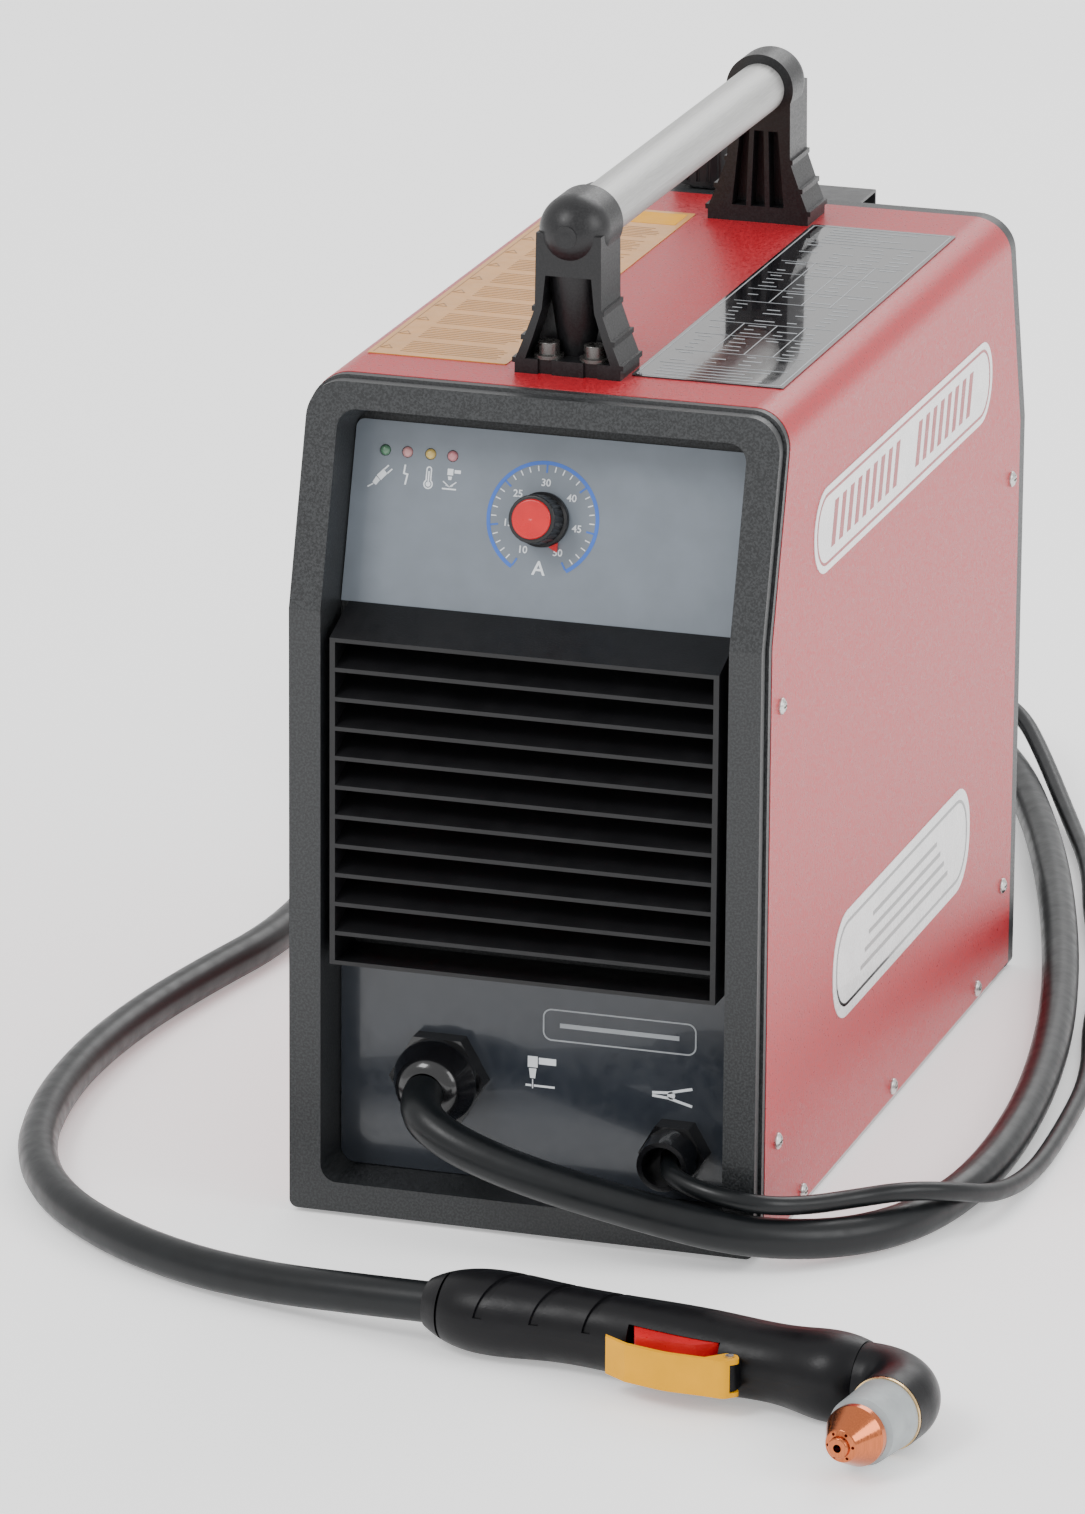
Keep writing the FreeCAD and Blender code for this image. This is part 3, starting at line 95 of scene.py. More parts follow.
TORCH_TO_COIL = [
    (-47.5, -229, 65), (-46, -247, 62), (-25, -257, 52), (12, -259, 41), (62, -255, 29.5),
    (112, -245, 17.5), (153, -213, 10.6), (180, -168, TORCH_REST), (191, -95, TORCH_REST),
    (183.7, 25, TORCH_REST), (156.4, 172, TORCH_REST), (104, 355, TORCH_REST), (52, 492, TORCH_REST),
    (14, 562, TORCH_REST), (-26, 618, TORCH_REST), (-75, 662, TORCH_REST), (-128, 688.7, TORCH_REST),
]
COIL_TO_TORCH = [
    (-299, 590, 54), (-299, 535, 49.5), (-293, 465, 36), (-280, 390, 19.5), (-262, 305, 10.4),
    (-246, 215, TORCH_REST), (-242, 125, TORCH_REST), (-257, 50, TORCH_REST), (-267, -20, TORCH_REST),
    (-269, -90, TORCH_REST), (-262, -155, TORCH_REST), (-246, -218, TORCH_REST),
    (-216, -272, TORCH_REST), (-172, -313, TORCH_REST), (-124, -340, 9.8), (-79, -355, 11.8),
    (-36, -366, 15.9), (3.7, -372.5, 18.6),
]
EARTH_TO_COIL = [
    (68, -212, 41.3), (70.5, -229, 40), (84, -238.5, 37.5), (103, -242.5, 35), (122, -238, 32),
    (137, -220, 28), (153, -199, 26), (173, -184, 27), (191, -164, 22), (203, -133, 11),
    (208, -85, EARTH_REST), (206, -20, EARTH_REST), (199, 60, EARTH_REST), (178.5, 140, EARTH_REST),
    (166, 220, EARTH_REST), (137.5, 300, EARTH_REST), (116.5, 380, EARTH_REST), (89.5, 446, 5.8),
    (51, 529, 18), (30, 566, 26), (6, 590, 28.5), (-24, 594, 27), (-46, 574, 18), (-54, 538, 8),
    (-55, 480, EARTH_REST), (-52, 418, EARTH_REST), (-45, 360, EARTH_REST),
]
COIL_TO_CLAMP = [
    (9, 414, 47.4), (-14, 414.5, 45), (-37, 413, 38), (-56, 408, 28), (-72, 402, 19), (-88, 397.5, 13),
]


def coil_points(centre, radius, start, sweep, low, high):
    """The turns of a coil from its start angle, climbing from low to high."""
    steps = round(TURN_POINTS * sweep / 360)
    points = []
    for i in range(1, steps):
        angle = math.radians(start + sweep * i / steps)
        z = low + (high - low) * i / steps
        points.append((centre[0] + radius * math.cos(angle), centre[1] + radius * math.sin(angle), z))
    return points


def lead(name, points, radius):
    """A lead on one smooth curve. Its points carry its radius, so the curve's box is the lead's own."""
    curve = bpy.data.curves.new(name, "CURVE")
    curve.dimensions = "3D"
    curve.bevel_depth = 1
    curve.bevel_resolution = 6
    curve.resolution_u = 8
    curve.use_fill_caps = True
    spline = curve.splines.new("NURBS")
    spline.points.add(len(points) - 1)
    for point, place in zip(spline.points, points):
        point.co = (place[0] * MM, place[1] * MM, place[2] * MM, 1)
        point.radius = radius * MM
    spline.order_u = 3
    spline.use_endpoint_u = True
    piece = bpy.data.objects.new(name, curve)
    bpy.context.scene.collection.objects.link(piece)
    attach(piece, "machine")
    return piece


torch_cord = lead(
    "torch_cord",
    TORCH_TO_COIL + coil_points(**TORCH_COIL) + COIL_TO_TORCH,
    TORCH_RADIUS,
)
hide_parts("torch_lead", "torch_lead_coil", "torch_lead_end")
earth_cord = lead(
    "earth_cord",
    EARTH_TO_COIL + coil_points(**EARTH_COIL) + COIL_TO_CLAMP,
    EARTH_RADIUS,
)
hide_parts("earth_lead", "earth_lead_coil", "earth_lead_end")


# ---------------------------------------------------------------- materials

class Shader:
    """A node material built up step by step round one Principled shader."""

    def __init__(self, name, roughness, metallic=0.0, coat=0.0, specular=0.5):
        self.material = bpy.data.materials.new(name)
        self.material.use_nodes = True
        self.nodes = self.material.node_tree.nodes
        self.links = self.material.node_tree.links
        self.base = self.nodes["Principled BSDF"]
        self.base.inputs["Roughness"].default_value = roughness
        self.base.inputs["Metallic"].default_value = metallic
        self.base.inputs["Coat Weight"].default_value = coat
        self.base.inputs["Specular IOR Level"].default_value = specular
        self.place = self.nodes.new("ShaderNodeTexCoord").outputs["Object"]

    def stretched(self, scale):
        mapping = self.nodes.new("ShaderNodeMapping")
        mapping.inputs["Scale"].default_value = scale
        self.links.new(self.place, mapping.inputs["Vector"])
        return mapping.outputs["Vector"]

    def noise(self, scale, detail=3.0, stretch=None, roughness=0.5):
        texture = self.nodes.new("ShaderNodeTexNoise")
        texture.inputs["Scale"].default_value = scale
        texture.inputs["Detail"].default_value = detail
        texture.inputs["Roughness"].default_value = roughness
        self.links.new(self.stretched(stretch) if stretch else self.place, texture.inputs["Vector"])
        return texture.outputs["Fac"]

    def ramp(self, value, stops, constant=False):
        ramp = self.nodes.new("ShaderNodeValToRGB")
        ramp.color_ramp.interpolation = "CONSTANT" if constant else "LINEAR"
        elements = ramp.color_ramp.elements
        while len(elements) < len(stops):
            elements.new(0.5)
        for element, (at, colour) in zip(elements, stops):
            element.position = at
            element.color = (*colour, 1)
        self.links.new(value, ramp.inputs["Fac"])
        return ramp.outputs["Color"]

    def colour(self, output):
        self.links.new(output, self.base.inputs["Base Color"])
        return self

    def rough(self, value, low, high):
        remap = self.nodes.new("ShaderNodeMapRange")
        remap.inputs["From Min"].default_value = 0.3
        remap.inputs["From Max"].default_value = 0.7
        remap.inputs["To Min"].default_value = low
        remap.inputs["To Max"].default_value = high
        self.links.new(value, remap.inputs["Value"])
        self.links.new(remap.outputs["Result"], self.base.inputs["Roughness"])
        return self

    def bump(self, value, strength, distance_mm):
        bump = self.nodes.new("ShaderNodeBump")
        bump.inputs["Strength"].default_value = strength
        bump.inputs["Distance"].default_value = distance_mm * MM
        self.links.new(value, bump.inputs["Height"])
        if self.base.inputs["Normal"].links:
            self.links.new(self.base.inputs["Normal"].links[0].from_socket, bump.inputs["Normal"])
        self.links.new(bump.outputs["Normal"], self.base.inputs["Normal"])
        return self


def shade_pair(colour, spread):
    """A darker and a lighter version of a colour."""
    return tuple(c * (1 - spread) for c in colour), tuple(min(1, c * (1 + spread)) for c in colour)


def moulded(name, colour, roughness=0.45, spread=0.18, grain=900, strength=0.25, coat=0.0, specular=0.5):
    """Moulded plastic or rubber: a fine grain, and slightly uneven tone and sheen."""
    made = Shader(name, roughness, coat=coat, specular=specular)
    dark, light = shade_pair(colour, spread)
    tone = made.noise(35, 4)
    made.colour(made.ramp(tone, [(0.35, dark), (0.65, light)]))
    made.rough(made.noise(120, 3), roughness - 0.06, roughness + 0.06)
    return made.bump(made.noise(grain, 2), strength, 0.25).material


def speckled(name, colour, fleck, roughness, grain, strength, size_mm, specular=0.5):
    """A pebbled finish whose colour goes from colour to fleck with the grain."""
    made = Shader(name, roughness, specular=specular)
    pebble = made.noise(grain, 2, roughness=0.6)
    made.colour(made.ramp(pebble, [(0.42, colour), (0.62, fleck)]))
    made.rough(pebble, roughness - 0.08, roughness + 0.12)
    return made.bump(pebble, strength, size_mm).material


def metal(name, colour, roughness, stretch=(1, 1, 1), scale=400, strength=0.12, metallic=1.0):
    """Metal with fine marks drawn out along one way."""
    made = Shader(name, roughness, metallic=metallic)
    dark, light = shade_pair(colour, 0.12)
    marks = made.noise(scale, 4, stretch)
    made.colour(made.ramp(marks, [(0.3, dark), (0.7, light)]))
    made.rough(marks, roughness - 0.08, roughness + 0.1)
    return made.bump(marks, strength, 0.08).material


def printed(name, colour, roughness=0.4, coat=0.0):
    """Ink or film: nearly even, with slight unevenness of tone and gloss."""
    made = Shader(name, roughness, coat=coat)
    dark, light = shade_pair(colour, 0.06)
    made.colour(made.ramp(made.noise(60, 3), [(0.3, dark), (0.7, light)]))
    return made.rough(made.noise(200, 2), roughness - 0.05, roughness + 0.05).material


def clear(name, colour, roughness, transmission=1.0):
    """Clear glass or plastic with faint surface waves."""
    made = Shader(name, roughness)
    made.base.inputs["Transmission Weight"].default_value = transmission
    dark, light = shade_pair(colour, 0.04)
    made.colour(made.ramp(made.noise(40, 2), [(0.3, dark), (0.7, light)]))
    return made.bump(made.noise(90, 2), 0.05, 0.1).material


def along_x(made, low, high):
    """The place along X, as 0 to 1 from low to high in millimetres."""
    split = made.nodes.new("ShaderNodeSeparateXYZ")
    made.links.new(made.place, split.inputs["Vector"])
    remap = made.nodes.new("ShaderNodeMapRange")
    remap.inputs["From Min"].default_value = low * MM
    remap.inputs["From Max"].default_value = high * MM
    made.links.new(split.outputs["X"], remap.inputs["Value"])
    return remap.outputs["Result"]


LAMP_ROW = (-88, -44)


def lamp_material():
    """Four lamps in a row: green, red, yellow and red."""
    made = Shader("lamp_lens", 0.15, coat=0.5)
    place = along_x(made, *LAMP_ROW)
    made.colour(made.ramp(place, [
        (0.0, (0.09, 0.2, 0.12)), (0.25, (0.5, 0.25, 0.25)),
        (0.5, (0.55, 0.4, 0.12)), (0.75, (0.5, 0.2, 0.22)),
    ], constant=True))
    return made.bump(made.noise(700, 1), 0.1, 0.1).material


COAT_RED = speckled("powder_red", (0.36, 0.006, 0.014), (0.46, 0.014, 0.024), 0.34, 620, 0.55, 0.22)
CHARCOAL = speckled("bezel_charcoal", (0.008, 0.009, 0.010), (0.026, 0.028, 0.030), 0.42, 900, 0.5, 0.2)
BLACK = moulded("black_moulding", (0.007, 0.007, 0.008), 0.42)
GRILLE_BLACK = moulded("grille_black", (0.006, 0.006, 0.007), 0.42, specular=0.4)
POST_BLACK = speckled("post_black", (0.005, 0.005, 0.006), (0.012, 0.012, 0.013), 0.38, 1100, 0.3, 0.15, 0.4)
GLAND_BLACK = moulded("gland_black", (0.005, 0.005, 0.006), 0.2, strength=0.08, coat=0.3)
LEAD_BLACK = moulded("lead_rubber", (0.005, 0.006, 0.007), 0.36, grain=500, strength=0.12, specular=0.3)
TORCH_BLACK = moulded("torch_black", (0.003, 0.003, 0.004), 0.38, strength=0.2, specular=0.22)
RED_PLASTIC = moulded("red_plastic", (0.52, 0.008, 0.012), 0.3, strength=0.5, grain=900)
YELLOW_PLASTIC = moulded("yellow_plastic", (0.72, 0.33, 0.0), 0.45, spread=0.08, specular=0.15)
STEEL = metal("screw_steel", (0.62, 0.62, 0.60), 0.3)
DARK_STEEL = moulded("dark_steel", (0.03, 0.03, 0.032), 0.4)
BLACK_SCREW = metal("black_screw", (0.13, 0.125, 0.12), 0.28, metallic=0.8)
TRAY_STEEL = metal("tray_steel", (0.5, 0.5, 0.5), 0.38, (1, 8, 1))
TUBE = metal("handle_aluminium", (0.50, 0.50, 0.49), 0.5, (30, 1, 30), 60, 0.15, metallic=0.6)
SINK = metal("sink_aluminium", (0.7, 0.7, 0.71), 0.35, (1, 10, 1))
CORE = metal("core_iron", (0.12, 0.12, 0.13), 0.6, (1, 1, 12))
COPPER_WIRE = metal("winding_copper", (0.65, 0.3, 0.14), 0.35, (1, 1, 40), 60, 0.5)
BOARD = moulded("board_green", (0.02, 0.12, 0.04), 0.4)
COPPER = metal("nozzle_copper", (0.50, 0.14, 0.055), 0.16, (60, 60, 1), 30, 0.2)
BRASS = metal("brass", (0.75, 0.52, 0.25), 0.25)
SHIELD = moulded("shield_grey", (0.26, 0.28, 0.285), 0.5, spread=0.25, grain=300, strength=0.6)
SLATE = printed("slate_plate", (0.024, 0.029, 0.038), 0.2, coat=0.3)
PANEL = printed("panel_print", (0.16, 0.185, 0.215), 0.34, coat=0.2)
WHITE_INK = printed("white_ink", (0.72, 0.75, 0.78), 0.4)
BLUE_INK = printed("blue_ink", (0.04, 0.13, 0.5), 0.4)
BLACK_GLOSS = printed("data_plate_black", (0.012, 0.012, 0.014), 0.1, coat=0.8)
GREY_INK = printed("grey_ink", (0.35, 0.37, 0.39), 0.4)
AMBER_FILM = printed("amber_film", (0.60, 0.27, 0.05), 0.34, coat=0.2)
BROWN_INK = printed("brown_ink", (0.30, 0.17, 0.08), 0.45)
WHITE_FILM = printed("white_film", (0.80, 0.80, 0.80), 0.28, coat=0.3)
RED_INK = printed("red_ink", (0.34, 0.01, 0.018), 0.3)
CLAMP_METAL = metal("clamp_steel", (0.6, 0.56, 0.42), 0.35)
CAST = moulded("cast_grey", (0.12, 0.12, 0.13), 0.5)
BOWL = clear("bowl_clear", (0.85, 0.88, 0.88), 0.12, 0.8)
GLASS = clear("gauge_glass", (0.98, 0.98, 0.98), 0.02)

FINISHES = {
    "cover": COAT_RED, "base_tray": TRAY_STEEL, "front_bezel": CHARCOAL, "rear_bezel": CHARCOAL,
    "rear_panel": DARK_STEEL, "control_plate": PANEL, "socket_plate": SLATE, "louvre_grille": GRILLE_BLACK,
    "side_screws": STEEL, "handle_front_post": POST_BLACK, "handle_rear_post": POST_BLACK,
    "handle_tube": TUBE, "handle_fasteners": BLACK_SCREW, "circuit_boards": BOARD,
    "board_components": BLACK, "indicator_lamps": lamp_material(), "knob_shaft": STEEL,
    "knob_body": BLACK, "knob_red_parts": RED_PLASTIC, "heat_sink": SINK,
    "magnetic_cores": CORE, "copper_windings": COPPER_WIRE, "fan_frame": BLACK, "fan_rotor": BLACK,
    "fan_guard": STEEL, "mains_switch_body": BLACK, "mains_switch_knob": RED_PLASTIC,
    "mains_gland": GLAND_BLACK, "rear_bracket": DARK_STEEL, "filter_regulator": CAST,
    "regulator_knob": BLACK, "filter_bowl": BOWL,
    "pressure_gauge": BLACK, "gauge_needle": RED_PLASTIC, "solenoid_valve": BRASS, "torch_gland": GLAND_BLACK,
    "earth_gland": GLAND_BLACK, "gland_nuts": BLACK, "torch_handle_top": TORCH_BLACK,
    "torch_handle_bottom": TORCH_BLACK, "torch_trigger": RED_PLASTIC, "torch_pins": STEEL,
    "torch_safety_lever": YELLOW_PLASTIC, "torch_head": TORCH_BLACK, "torch_ring": BRASS,
    "torch_shield": SHIELD, "torch_nozzle": COPPER, "torch_electrode": COPPER, "clamp_jaw_fixed": CLAMP_METAL,
    "clamp_jaw_moving": CLAMP_METAL, "clamp_pin": STEEL, "clamp_spring": STEEL,
}


def paint(piece, material):
    piece.data.materials.clear()
    piece.data.materials.append(material)


for node_name, finish in FINISHES.items():
    paint(NODES[node_name], finish)
for cord_piece in (torch_cord, earth_cord):
    paint(cord_piece, LEAD_BLACK)


# ---------------------------------------------------------------- flat printing

def place_on(origin, across, up):
    """The matrix from drawing millimetres to the model, on a plane through the origin."""
    x, y = Vector(across).normalized(), Vector(up).normalized()
    z = x.cross(y)
    return Matrix((
        (x.x * MM, y.x * MM, z.x * MM, origin[0] * MM),
        (x.y * MM, y.y * MM, z.y * MM, origin[1] * MM),
        (x.z * MM, y.z * MM, z.z * MM, origin[2] * MM),
        (0, 0, 0, 1),
    ))


def slab(mesh, left, right, thickness):
    """A thin closed strip between two rows of points."""
    low = [[mesh.verts.new((x, y, 0)) for x, y in row] for row in (left, right)]
    high = [[mesh.verts.new((x, y, thickness)) for x, y in row] for row in (left, right)]
    for i in range(len(left) - 1):
        mesh.faces.new((high[0][i], high[1][i], high[1][i + 1], high[0][i + 1]))
        mesh.faces.new((low[0][i], low[0][i + 1], low[1][i + 1], low[1][i]))
        mesh.faces.new((low[0][i], high[0][i], high[0][i + 1], low[0][i + 1]))
        mesh.faces.new((low[1][i], low[1][i + 1], high[1][i + 1], high[1][i]))
    for i in (0, -1):
        mesh.faces.new((low[0][i], low[1][i], high[1][i], high[0][i]))


def stroke(mesh, points, width, thickness=0.12):
    """A line of even width through the points."""
    left, right = [], []
    for i, (x, y) in enumerate(points):
        before = Vector(points[max(i - 1, 0)])
        after = Vector(points[min(i + 1, len(points) - 1)])
        here = Vector((x, y))
        ways = [w.normalized() for w in (here - before, after - here) if w.length > 1e-9]
        way = sum(ways, Vector((0, 0))).normalized()
        side = Vector((-way.y, way.x))
        reach = width / 2 / max(0.5, side.dot(Vector((-ways[0].y, ways[0].x))))
        left.append(tuple(here + side * reach))
        right.append(tuple(here - side * reach))
    slab(mesh, left, right, thickness)


def patch(mesh, points, thickness=0.12):
    """A filled outline, given counterclockwise."""
    low = [mesh.verts.new((x, y, 0)) for x, y in points]
    high = [mesh.verts.new((x, y, thickness)) for x, y in points]
    mesh.faces.new(high)
    mesh.faces.new(low[::-1])
    for i in range(len(points)):
        j = (i + 1) % len(points)
        mesh.faces.new((low[i], low[j], high[j], high[i]))


def polar(x, y, radius, degrees):
    """The point at a radius and an angle from a centre."""
    angle = math.radians(degrees)
    return x + radius * math.cos(angle), y + radius * math.sin(angle)


def arc(x, y, radius, start, end, steps=24):
    """Points on a circle between two angles in degrees."""
    return [polar(x, y, radius, start + (end - start) * i / steps) for i in range(steps + 1)]


def spoke(x, y, degrees, outer, inner):
    """The two ends of a mark that points at a centre."""
    return [polar(x, y, radius, degrees) for radius in (outer, inner)]


def rounded(x0, y0, x1, y1, radius):
    """The outline of a rectangle with round corners."""
    corners = ((x1 - radius, y1 - radius, 0), (x0 + radius, y1 - radius, 90),
               (x0 + radius, y0 + radius, 180), (x1 - radius, y0 + radius, 270))
    return [p for x, y, start in corners for p in arc(x, y, radius, start, start + 90, 8)]


def drawing(name, matrix, material, body="machine"):
    """Decorator: the function draws into a mesh in millimetres, and the result becomes a piece."""
    def make(draw):
        mesh = bmesh.new()
        draw(mesh)
        mesh.transform(matrix)
        bmesh.ops.recalc_face_normals(mesh, faces=mesh.faces)
        data = bpy.data.meshes.new(name)
        mesh.to_mesh(data)
        mesh.free()
        piece = bpy.data.objects.new(name, data)
        bpy.context.scene.collection.objects.link(piece)
        paint(piece, material)
        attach(piece, body)
        return piece
    return make


def lettering(name, items, matrix, material, height):
    """Generic figures: (text, x, y) with each centred on its point."""
    for i, (text, x, y) in enumerate(items):
        font = bpy.data.curves.new(f"{name}_{i}", "FONT")
        font.body = text
        font.size = height / 0.72
        font.offset = height * 0.02
        font.align_x = "CENTER"
        font.align_y = "CENTER"
        font.extrude = 0.06
        font.resolution_u = 3
        source = bpy.data.objects.new(f"{name}_{i}_font", font)
        bpy.context.scene.collection.objects.link(source)
        bpy.context.view_layer.update()
        data = bpy.data.meshes.new_from_object(source)
        bpy.data.objects.remove(source)
        data.transform(matrix @ Matrix.Translation((x, y, 0.06)))
        piece = bpy.data.objects.new(f"{name}_{i}", data)
        bpy.context.scene.collection.objects.link(piece)
        paint(piece, material)
        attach(piece, "machine")


# The leaning control plate: x across, y up the slope from the bend.
SLOPE_UP = (0, math.sin(LEAN), math.cos(LEAN))
OUT = Vector((0, -math.cos(LEAN), math.sin(LEAN)))
BEND = Vector((0, -230, 294))    # where the bezel's front starts to lean
PLATE_DEPTH = 30 * math.cos(LEAN) - 1.2    # of the plate's face, under the bezel's leaning front
ON_PANEL = place_on(BEND - OUT * (PLATE_DEPTH - 0.01), (1, 0, 0), SLOPE_UP)
DIAL_X, DIAL_Y, DIAL_RADIUS = -3.9, 51.2, 26.2
DIAL_START, DIAL_STEP, TICK_STEP = 240, -50, -10
FIGURE_RADIUS = 16.9


@drawing("dial_ring", ON_PANEL, BLUE_INK)
def dial_ring(mesh):
    stroke(mesh, arc(DIAL_X, DIAL_Y, DIAL_RADIUS, DIAL_START, -60, 64), 1.7)
    for i in range(7):
        stroke(mesh, spoke(DIAL_X, DIAL_Y, DIAL_START + DIAL_STEP * i, 25.5, 21.6), 0.8)


@drawing("dial_ticks", ON_PANEL, WHITE_INK)
def dial_ticks(mesh):
    for i in range(31):
        if i % 5:
            stroke(mesh, spoke(DIAL_X, DIAL_Y, DIAL_START + TICK_STEP * i, 24.9, 22.4), 0.5)


lettering("dial_figure", [
    (text, *polar(DIAL_X, DIAL_Y, FIGURE_RADIUS, DIAL_START + DIAL_STEP * i))
    for i, text in enumerate(("10", "15", "25", "30", "40", "45", "50"))
], ON_PANEL, WHITE_INK, 3.4)
lettering("dial_unit", [("A", DIAL_X, 28.5)], ON_PANEL, WHITE_INK, 6.6)


@drawing("lamp_icons", ON_PANEL, WHITE_INK)
def lamp_icons(mesh):
    # A plug on its lead.
    patch(mesh, [(-87.4, 61.2), (-85.6, 60.0), (-83.8, 62.4), (-85.8, 64.2)])
    patch(mesh, [(-85.6, 64.6), (-83.4, 62.4), (-80.6, 65.6), (-82.6, 67.8)])
    stroke(mesh, [(-82.2, 67.6), (-80.2, 69.6)], 0.7)
    stroke(mesh, [(-80.6, 65.8), (-78.4, 68.0)], 0.7)
    stroke(mesh, [(-87.0, 60.6), (-89.6, 59.0)], 0.6)
    # A broken line.
    stroke(mesh, [(-72.2, 70.6), (-72.6, 66.6), (-70.8, 66.2), (-71.6, 61.4)], 0.8)
    # A thermometer.
    stroke(mesh, arc(-60.5, 69.4, 1.1, 0, 180, 10), 0.6)
    stroke(mesh, [(-61.6, 69.4), (-61.6, 64.2)], 0.6)
    stroke(mesh, [(-59.4, 69.4), (-59.4, 64.2)], 0.6)
    stroke(mesh, arc(-60.5, 62.6, 2.0, 125, 415, 20), 0.6)
    patch(mesh, arc(-60.5, 62.6, 1.2, 0, 345, 16))
    stroke(mesh, [(-60.5, 63.4), (-60.5, 68.6)], 0.7)
    # A torch over a cut.
    patch(mesh, [(-51.6, 67.6), (-48.8, 67.6), (-48.8, 70.6), (-51.6, 70.6)])
    patch(mesh, [(-48.2, 68.6), (-45.2, 68.6), (-45.2, 70.2), (-48.2, 70.2)])
    patch(mesh, [(-50.9, 65.4), (-49.5, 65.4), (-49.2, 67.0), (-51.2, 67.0)])
    for x, y in ((-53.4, 64.6), (-51.9, 63.0), (-48.4, 63.0), (-46.9, 64.6)):
        stroke(mesh, [(-50.2, 62.2), (x, y)], 0.5)
    stroke(mesh, [(-53.6, 61.2), (-46.8, 61.2)], 0.7)


# The upright socket plate: x across, y is the height above the floor.
ON_SOCKET = place_on((0, -201.21, 0), (1, 0, 0), (0, 0, 1))


@drawing("torch_sign", ON_SOCKET, WHITE_INK)
def torch_sign(mesh):
    patch(mesh, [(-5.6, 73.6), (-0.8, 73.6), (-0.8, 79.0), (-5.6, 79.0)])
    patch(mesh, [(-0.2, 75.4), (8.2, 75.4), (8.2, 78.6), (-0.2, 78.6)])
    patch(mesh, [(-4.4, 68.2), (-2.0, 68.2), (-1.4, 73.0), (-5.0, 73.0)])
    stroke(mesh, [(-6.6, 64.6), (-3.8, 64.6)], 1.0)
    stroke(mesh, [(-2.6, 64.6), (7.6, 64.6)], 1.0)
    stroke(mesh, [(-3.2, 67.6), (-3.2, 63.2)], 0.5)


@drawing("clamp_sign", ON_SOCKET, WHITE_INK)
def clamp_sign(mesh):
    stroke(mesh, [(55.2, 67.8), (63.0, 68.4), (74.6, 71.4)], 1.3)
    stroke(mesh, [(55.2, 66.4), (63.0, 65.8), (74.6, 62.8)], 1.3)
    patch(mesh, arc(64.4, 67.1, 1.9, 0, 345, 16))


@drawing("plain_badge", ON_SOCKET, GREY_INK)
def plain_badge(mesh):
    outline = rounded(2, 88, 76, 103, 4)
    stroke(mesh, outline + outline[:1], 0.7)
    stroke(mesh, [(10, 95.5), (68, 95.5)], 2.2)


# ---------------------------------------------------------------- labels

TOP_FACE, SIDE_FACE = 398, 115
LIFT = 0.01    # a film's underside stands off its face by this
AMBER_THICKNESS, DATA_THICKNESS, SIDE_THICKNESS = 0.4, 0.6, 0.35


def on_top(lift):
    """Seen from above: x across, y towards the back."""
    return place_on((0, 0, TOP_FACE + lift), (1, 0, 0), (0, 1, 0))


def on_side(lift):
    """Seen from the right: x towards the back, y up."""
    return place_on((SIDE_FACE + lift, 0, 0), (0, 1, 0), (0, 0, 1))


ON_LEFT_LABEL = on_top(LIFT + AMBER_THICKNESS)
ON_RIGHT_LABEL = on_top(LIFT + DATA_THICKNESS)
ON_SIDE_LABEL = on_side(LIFT + SIDE_THICKNESS)


@drawing("amber_label", on_top(LIFT), AMBER_FILM)
def amber_label(mesh):
    patch(mesh, rounded(-101, -155, -33, 148, 1.2), AMBER_THICKNESS)


@drawing("amber_label_lines", ON_LEFT_LABEL, BROWN_INK)
def amber_label_lines(mesh):
    """Plain rules with a triangle at the head of each group, in place of printed words."""
    chance = random.Random(4)
    y = -148
    while y < 118:
        for corner in range(3):
            stroke(mesh, arc(-95, y + 5, 3.4, 90 + 120 * corner, 210 + 120 * corner, 1), 0.45)
        for row in range(7):
            stroke(mesh, [(-87, y + row * 3), (-38 - chance.uniform(0, 8), y + row * 3)], 0.5)
        y += 27
    stroke(mesh, [(-98.5, -152.5), (-98.5, 145)], 0.3)


@drawing("yellow_corner", ON_LEFT_LABEL, YELLOW_PLASTIC)
def yellow_corner(mesh):
    patch(mesh, rounded(-60, 122, -36, 144, 1))


@drawing("data_plate", on_top(LIFT), BLACK_GLOSS)
def data_plate(mesh):
    patch(mesh, rounded(27.2, -155, 100, 146, 2), DATA_THICKNESS)


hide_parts("top_labels")


@drawing("data_plate_rules", ON_RIGHT_LABEL, GREY_INK)
def data_plate_rules(mesh):
    """A ruled table with short bars in its cells, in place of printed data."""
    frame_line = rounded(29, -152.5, 98, 143.5, 1.5)
    stroke(mesh, frame_line + frame_line[:1], 0.6)
    rows = (-128, -104, -72, -48, -8, 16, 48, 72, 112)
    for y in rows:
        stroke(mesh, [(33, y), (94, y)], 0.4)
    for y0, y1 in ((-104, -48), (-8, 72)):
        for x in (50, 66, 80):
            stroke(mesh, [(x, y0), (x, y1)], 0.4)
    chance = random.Random(11)
    for y0, y1 in zip(rows, rows[1:]):
        for x in (36, 53, 69, 83):
            for y in range(int(y0) + 6, int(y1) - 3, 7):
                if chance.random() < 0.75:
                    stroke(mesh, [(x, y), (x + chance.uniform(4, 10), y)], 0.9)
    for y in range(-148, -130, 5):
        stroke(mesh, [(36, y), (36 + chance.uniform(30, 54), y)], 0.7)
    for y in range(118, 140, 5):
        stroke(mesh, [(40, y), (40 + chance.uniform(20, 48), y)], 0.8)


@drawing("oblong_label", on_side(LIFT), WHITE_FILM)
def oblong_label(mesh):
    patch(mesh, rounded(-152, 306, 162, 347, 20), SIDE_THICKNESS)


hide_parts("side_labels")


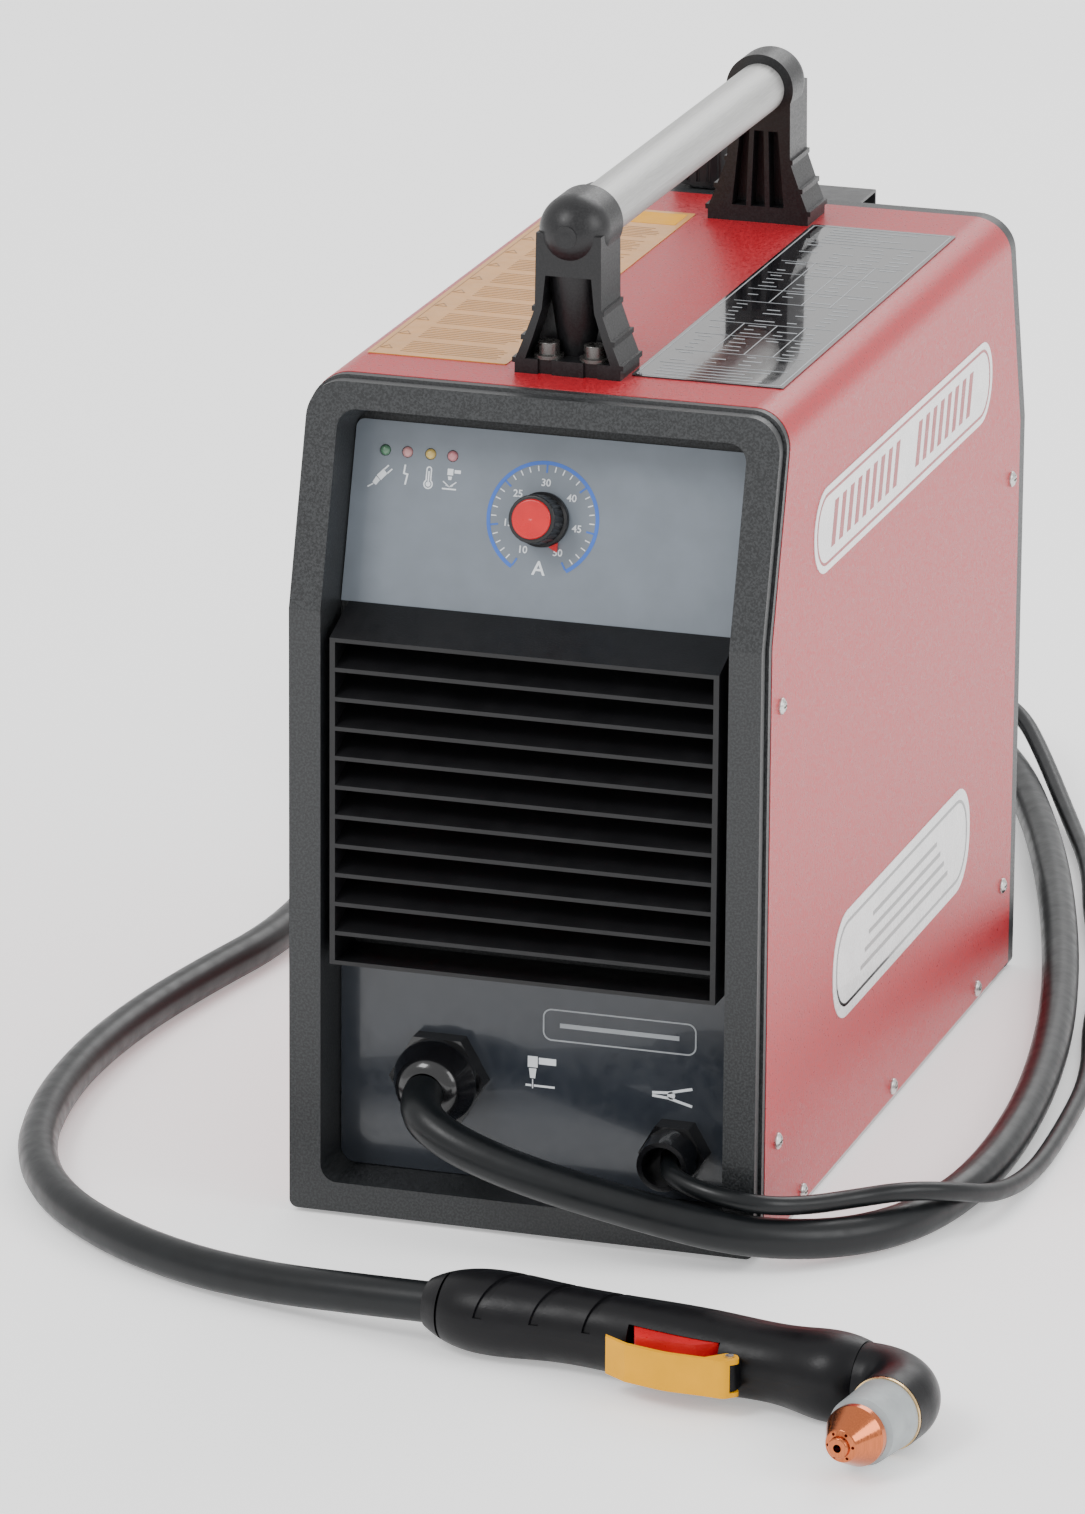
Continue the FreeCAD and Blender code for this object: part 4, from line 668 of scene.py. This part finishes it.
@drawing("oblong_label_print", ON_SIDE_LABEL, RED_INK)
def oblong_label_print(mesh):
    """A plain outlined band with a row of slanted bars."""
    ring = rounded(-147, 310, 157, 343, 16)
    stroke(mesh, ring + ring[:1], 1.4)
    for i in range(19):
        y = -124 + i * 13.2
        if 8 < i < 11:
            continue
        patch(mesh, [(y, 316), (y + 6.4, 316), (y + 12.4, 337), (y + 6, 337)], 0.1)


@drawing("lower_label", on_side(LIFT), WHITE_FILM)
def lower_label(mesh):
    patch(mesh, rounded(-108, 74, 137, 127, 24), SIDE_THICKNESS)


@drawing("lower_label_print", ON_SIDE_LABEL, BLACK_GLOSS)
def lower_label_print(mesh):
    ring = rounded(-102, 80, 131, 121, 19)
    stroke(mesh, ring + ring[:1], 1.6)
    for i in range(4):
        stroke(mesh, [(-60 + 7 * i, 90 + 7 * i), (96 - 7 * i, 90 + 7 * i)], 2.2, 0.1)


# ---------------------------------------------------------------- gauge

def on_gauge(y):
    """Seen from behind, on the gauge's axis: x across, y up."""
    return place_on((-48, y, 353), (-1, 0, 0), (0, 0, 1))


@drawing("gauge_face", on_gauge(240.4), WHITE_FILM)
def gauge_face(mesh):
    outer, inner = arc(0, 0, 15.2, 0, 360, 48), arc(0, 0, 1.4, 0, 360, 48)
    slab(mesh, outer, inner, 0.5)


@drawing("gauge_marks", on_gauge(241.05), BLACK)
def gauge_marks(mesh):
    for i in range(27):
        stroke(mesh, spoke(0, 0, 220 - 10 * i, 13.8, 11.8 if i % 5 else 10.4), 0.4, 0.08)


@drawing("gauge_window", on_gauge(243.4), GLASS)
def gauge_window(mesh):
    patch(mesh, arc(0, 0, 15.3, 0, 352.5, 47), 1.4)


# ---------------------------------------------------------------- studio

STUDIO_LIGHTS = [
    ("key", (-1.6, -2.6, 3.2), 1.4, 75),
    ("side", (3.4, -0.6, 2.0), 2.0, 60),
    ("rear", (0.4, 3.0, 2.6), 2.0, 50),
]


def make_studio():
    """A pale floor, an even white sky and three soft lamps."""
    bpy.ops.mesh.primitive_plane_add(size=16, location=(0, 0, -0.0005))
    floor = bpy.context.object
    floor.name = "floor"
    pale = Shader("floor_pale", 0.7, specular=0.2)
    pale.colour(pale.ramp(pale.noise(2, 2), [(0.3, (0.95, 0.95, 0.95)), (0.7, (0.97, 0.97, 0.97))]))
    pale.base.inputs["Emission Color"].default_value = (1, 1, 1, 1)
    pale.base.inputs["Emission Strength"].default_value = 0.4
    paint(floor, pale.material)

    world = bpy.data.worlds.new("studio")
    bpy.context.scene.world = world
    world.use_nodes = True
    world.node_tree.nodes["Background"].inputs["Color"].default_value = (1, 1, 1, 1)
    world.node_tree.nodes["Background"].inputs["Strength"].default_value = 1.15
    for name, place, size, power in STUDIO_LIGHTS:
        light = bpy.data.lights.new(name, "AREA")
        light.size = size
        light.energy = power
        lamp = bpy.data.objects.new(name, light)
        lamp.location = place
        lamp.rotation_euler = (Vector((0, 0, 0.2)) - Vector(place)).to_track_quat("-Z", "Y").to_euler()
        bpy.context.scene.collection.objects.link(lamp)


make_studio()
bpy.context.view_layer.update()
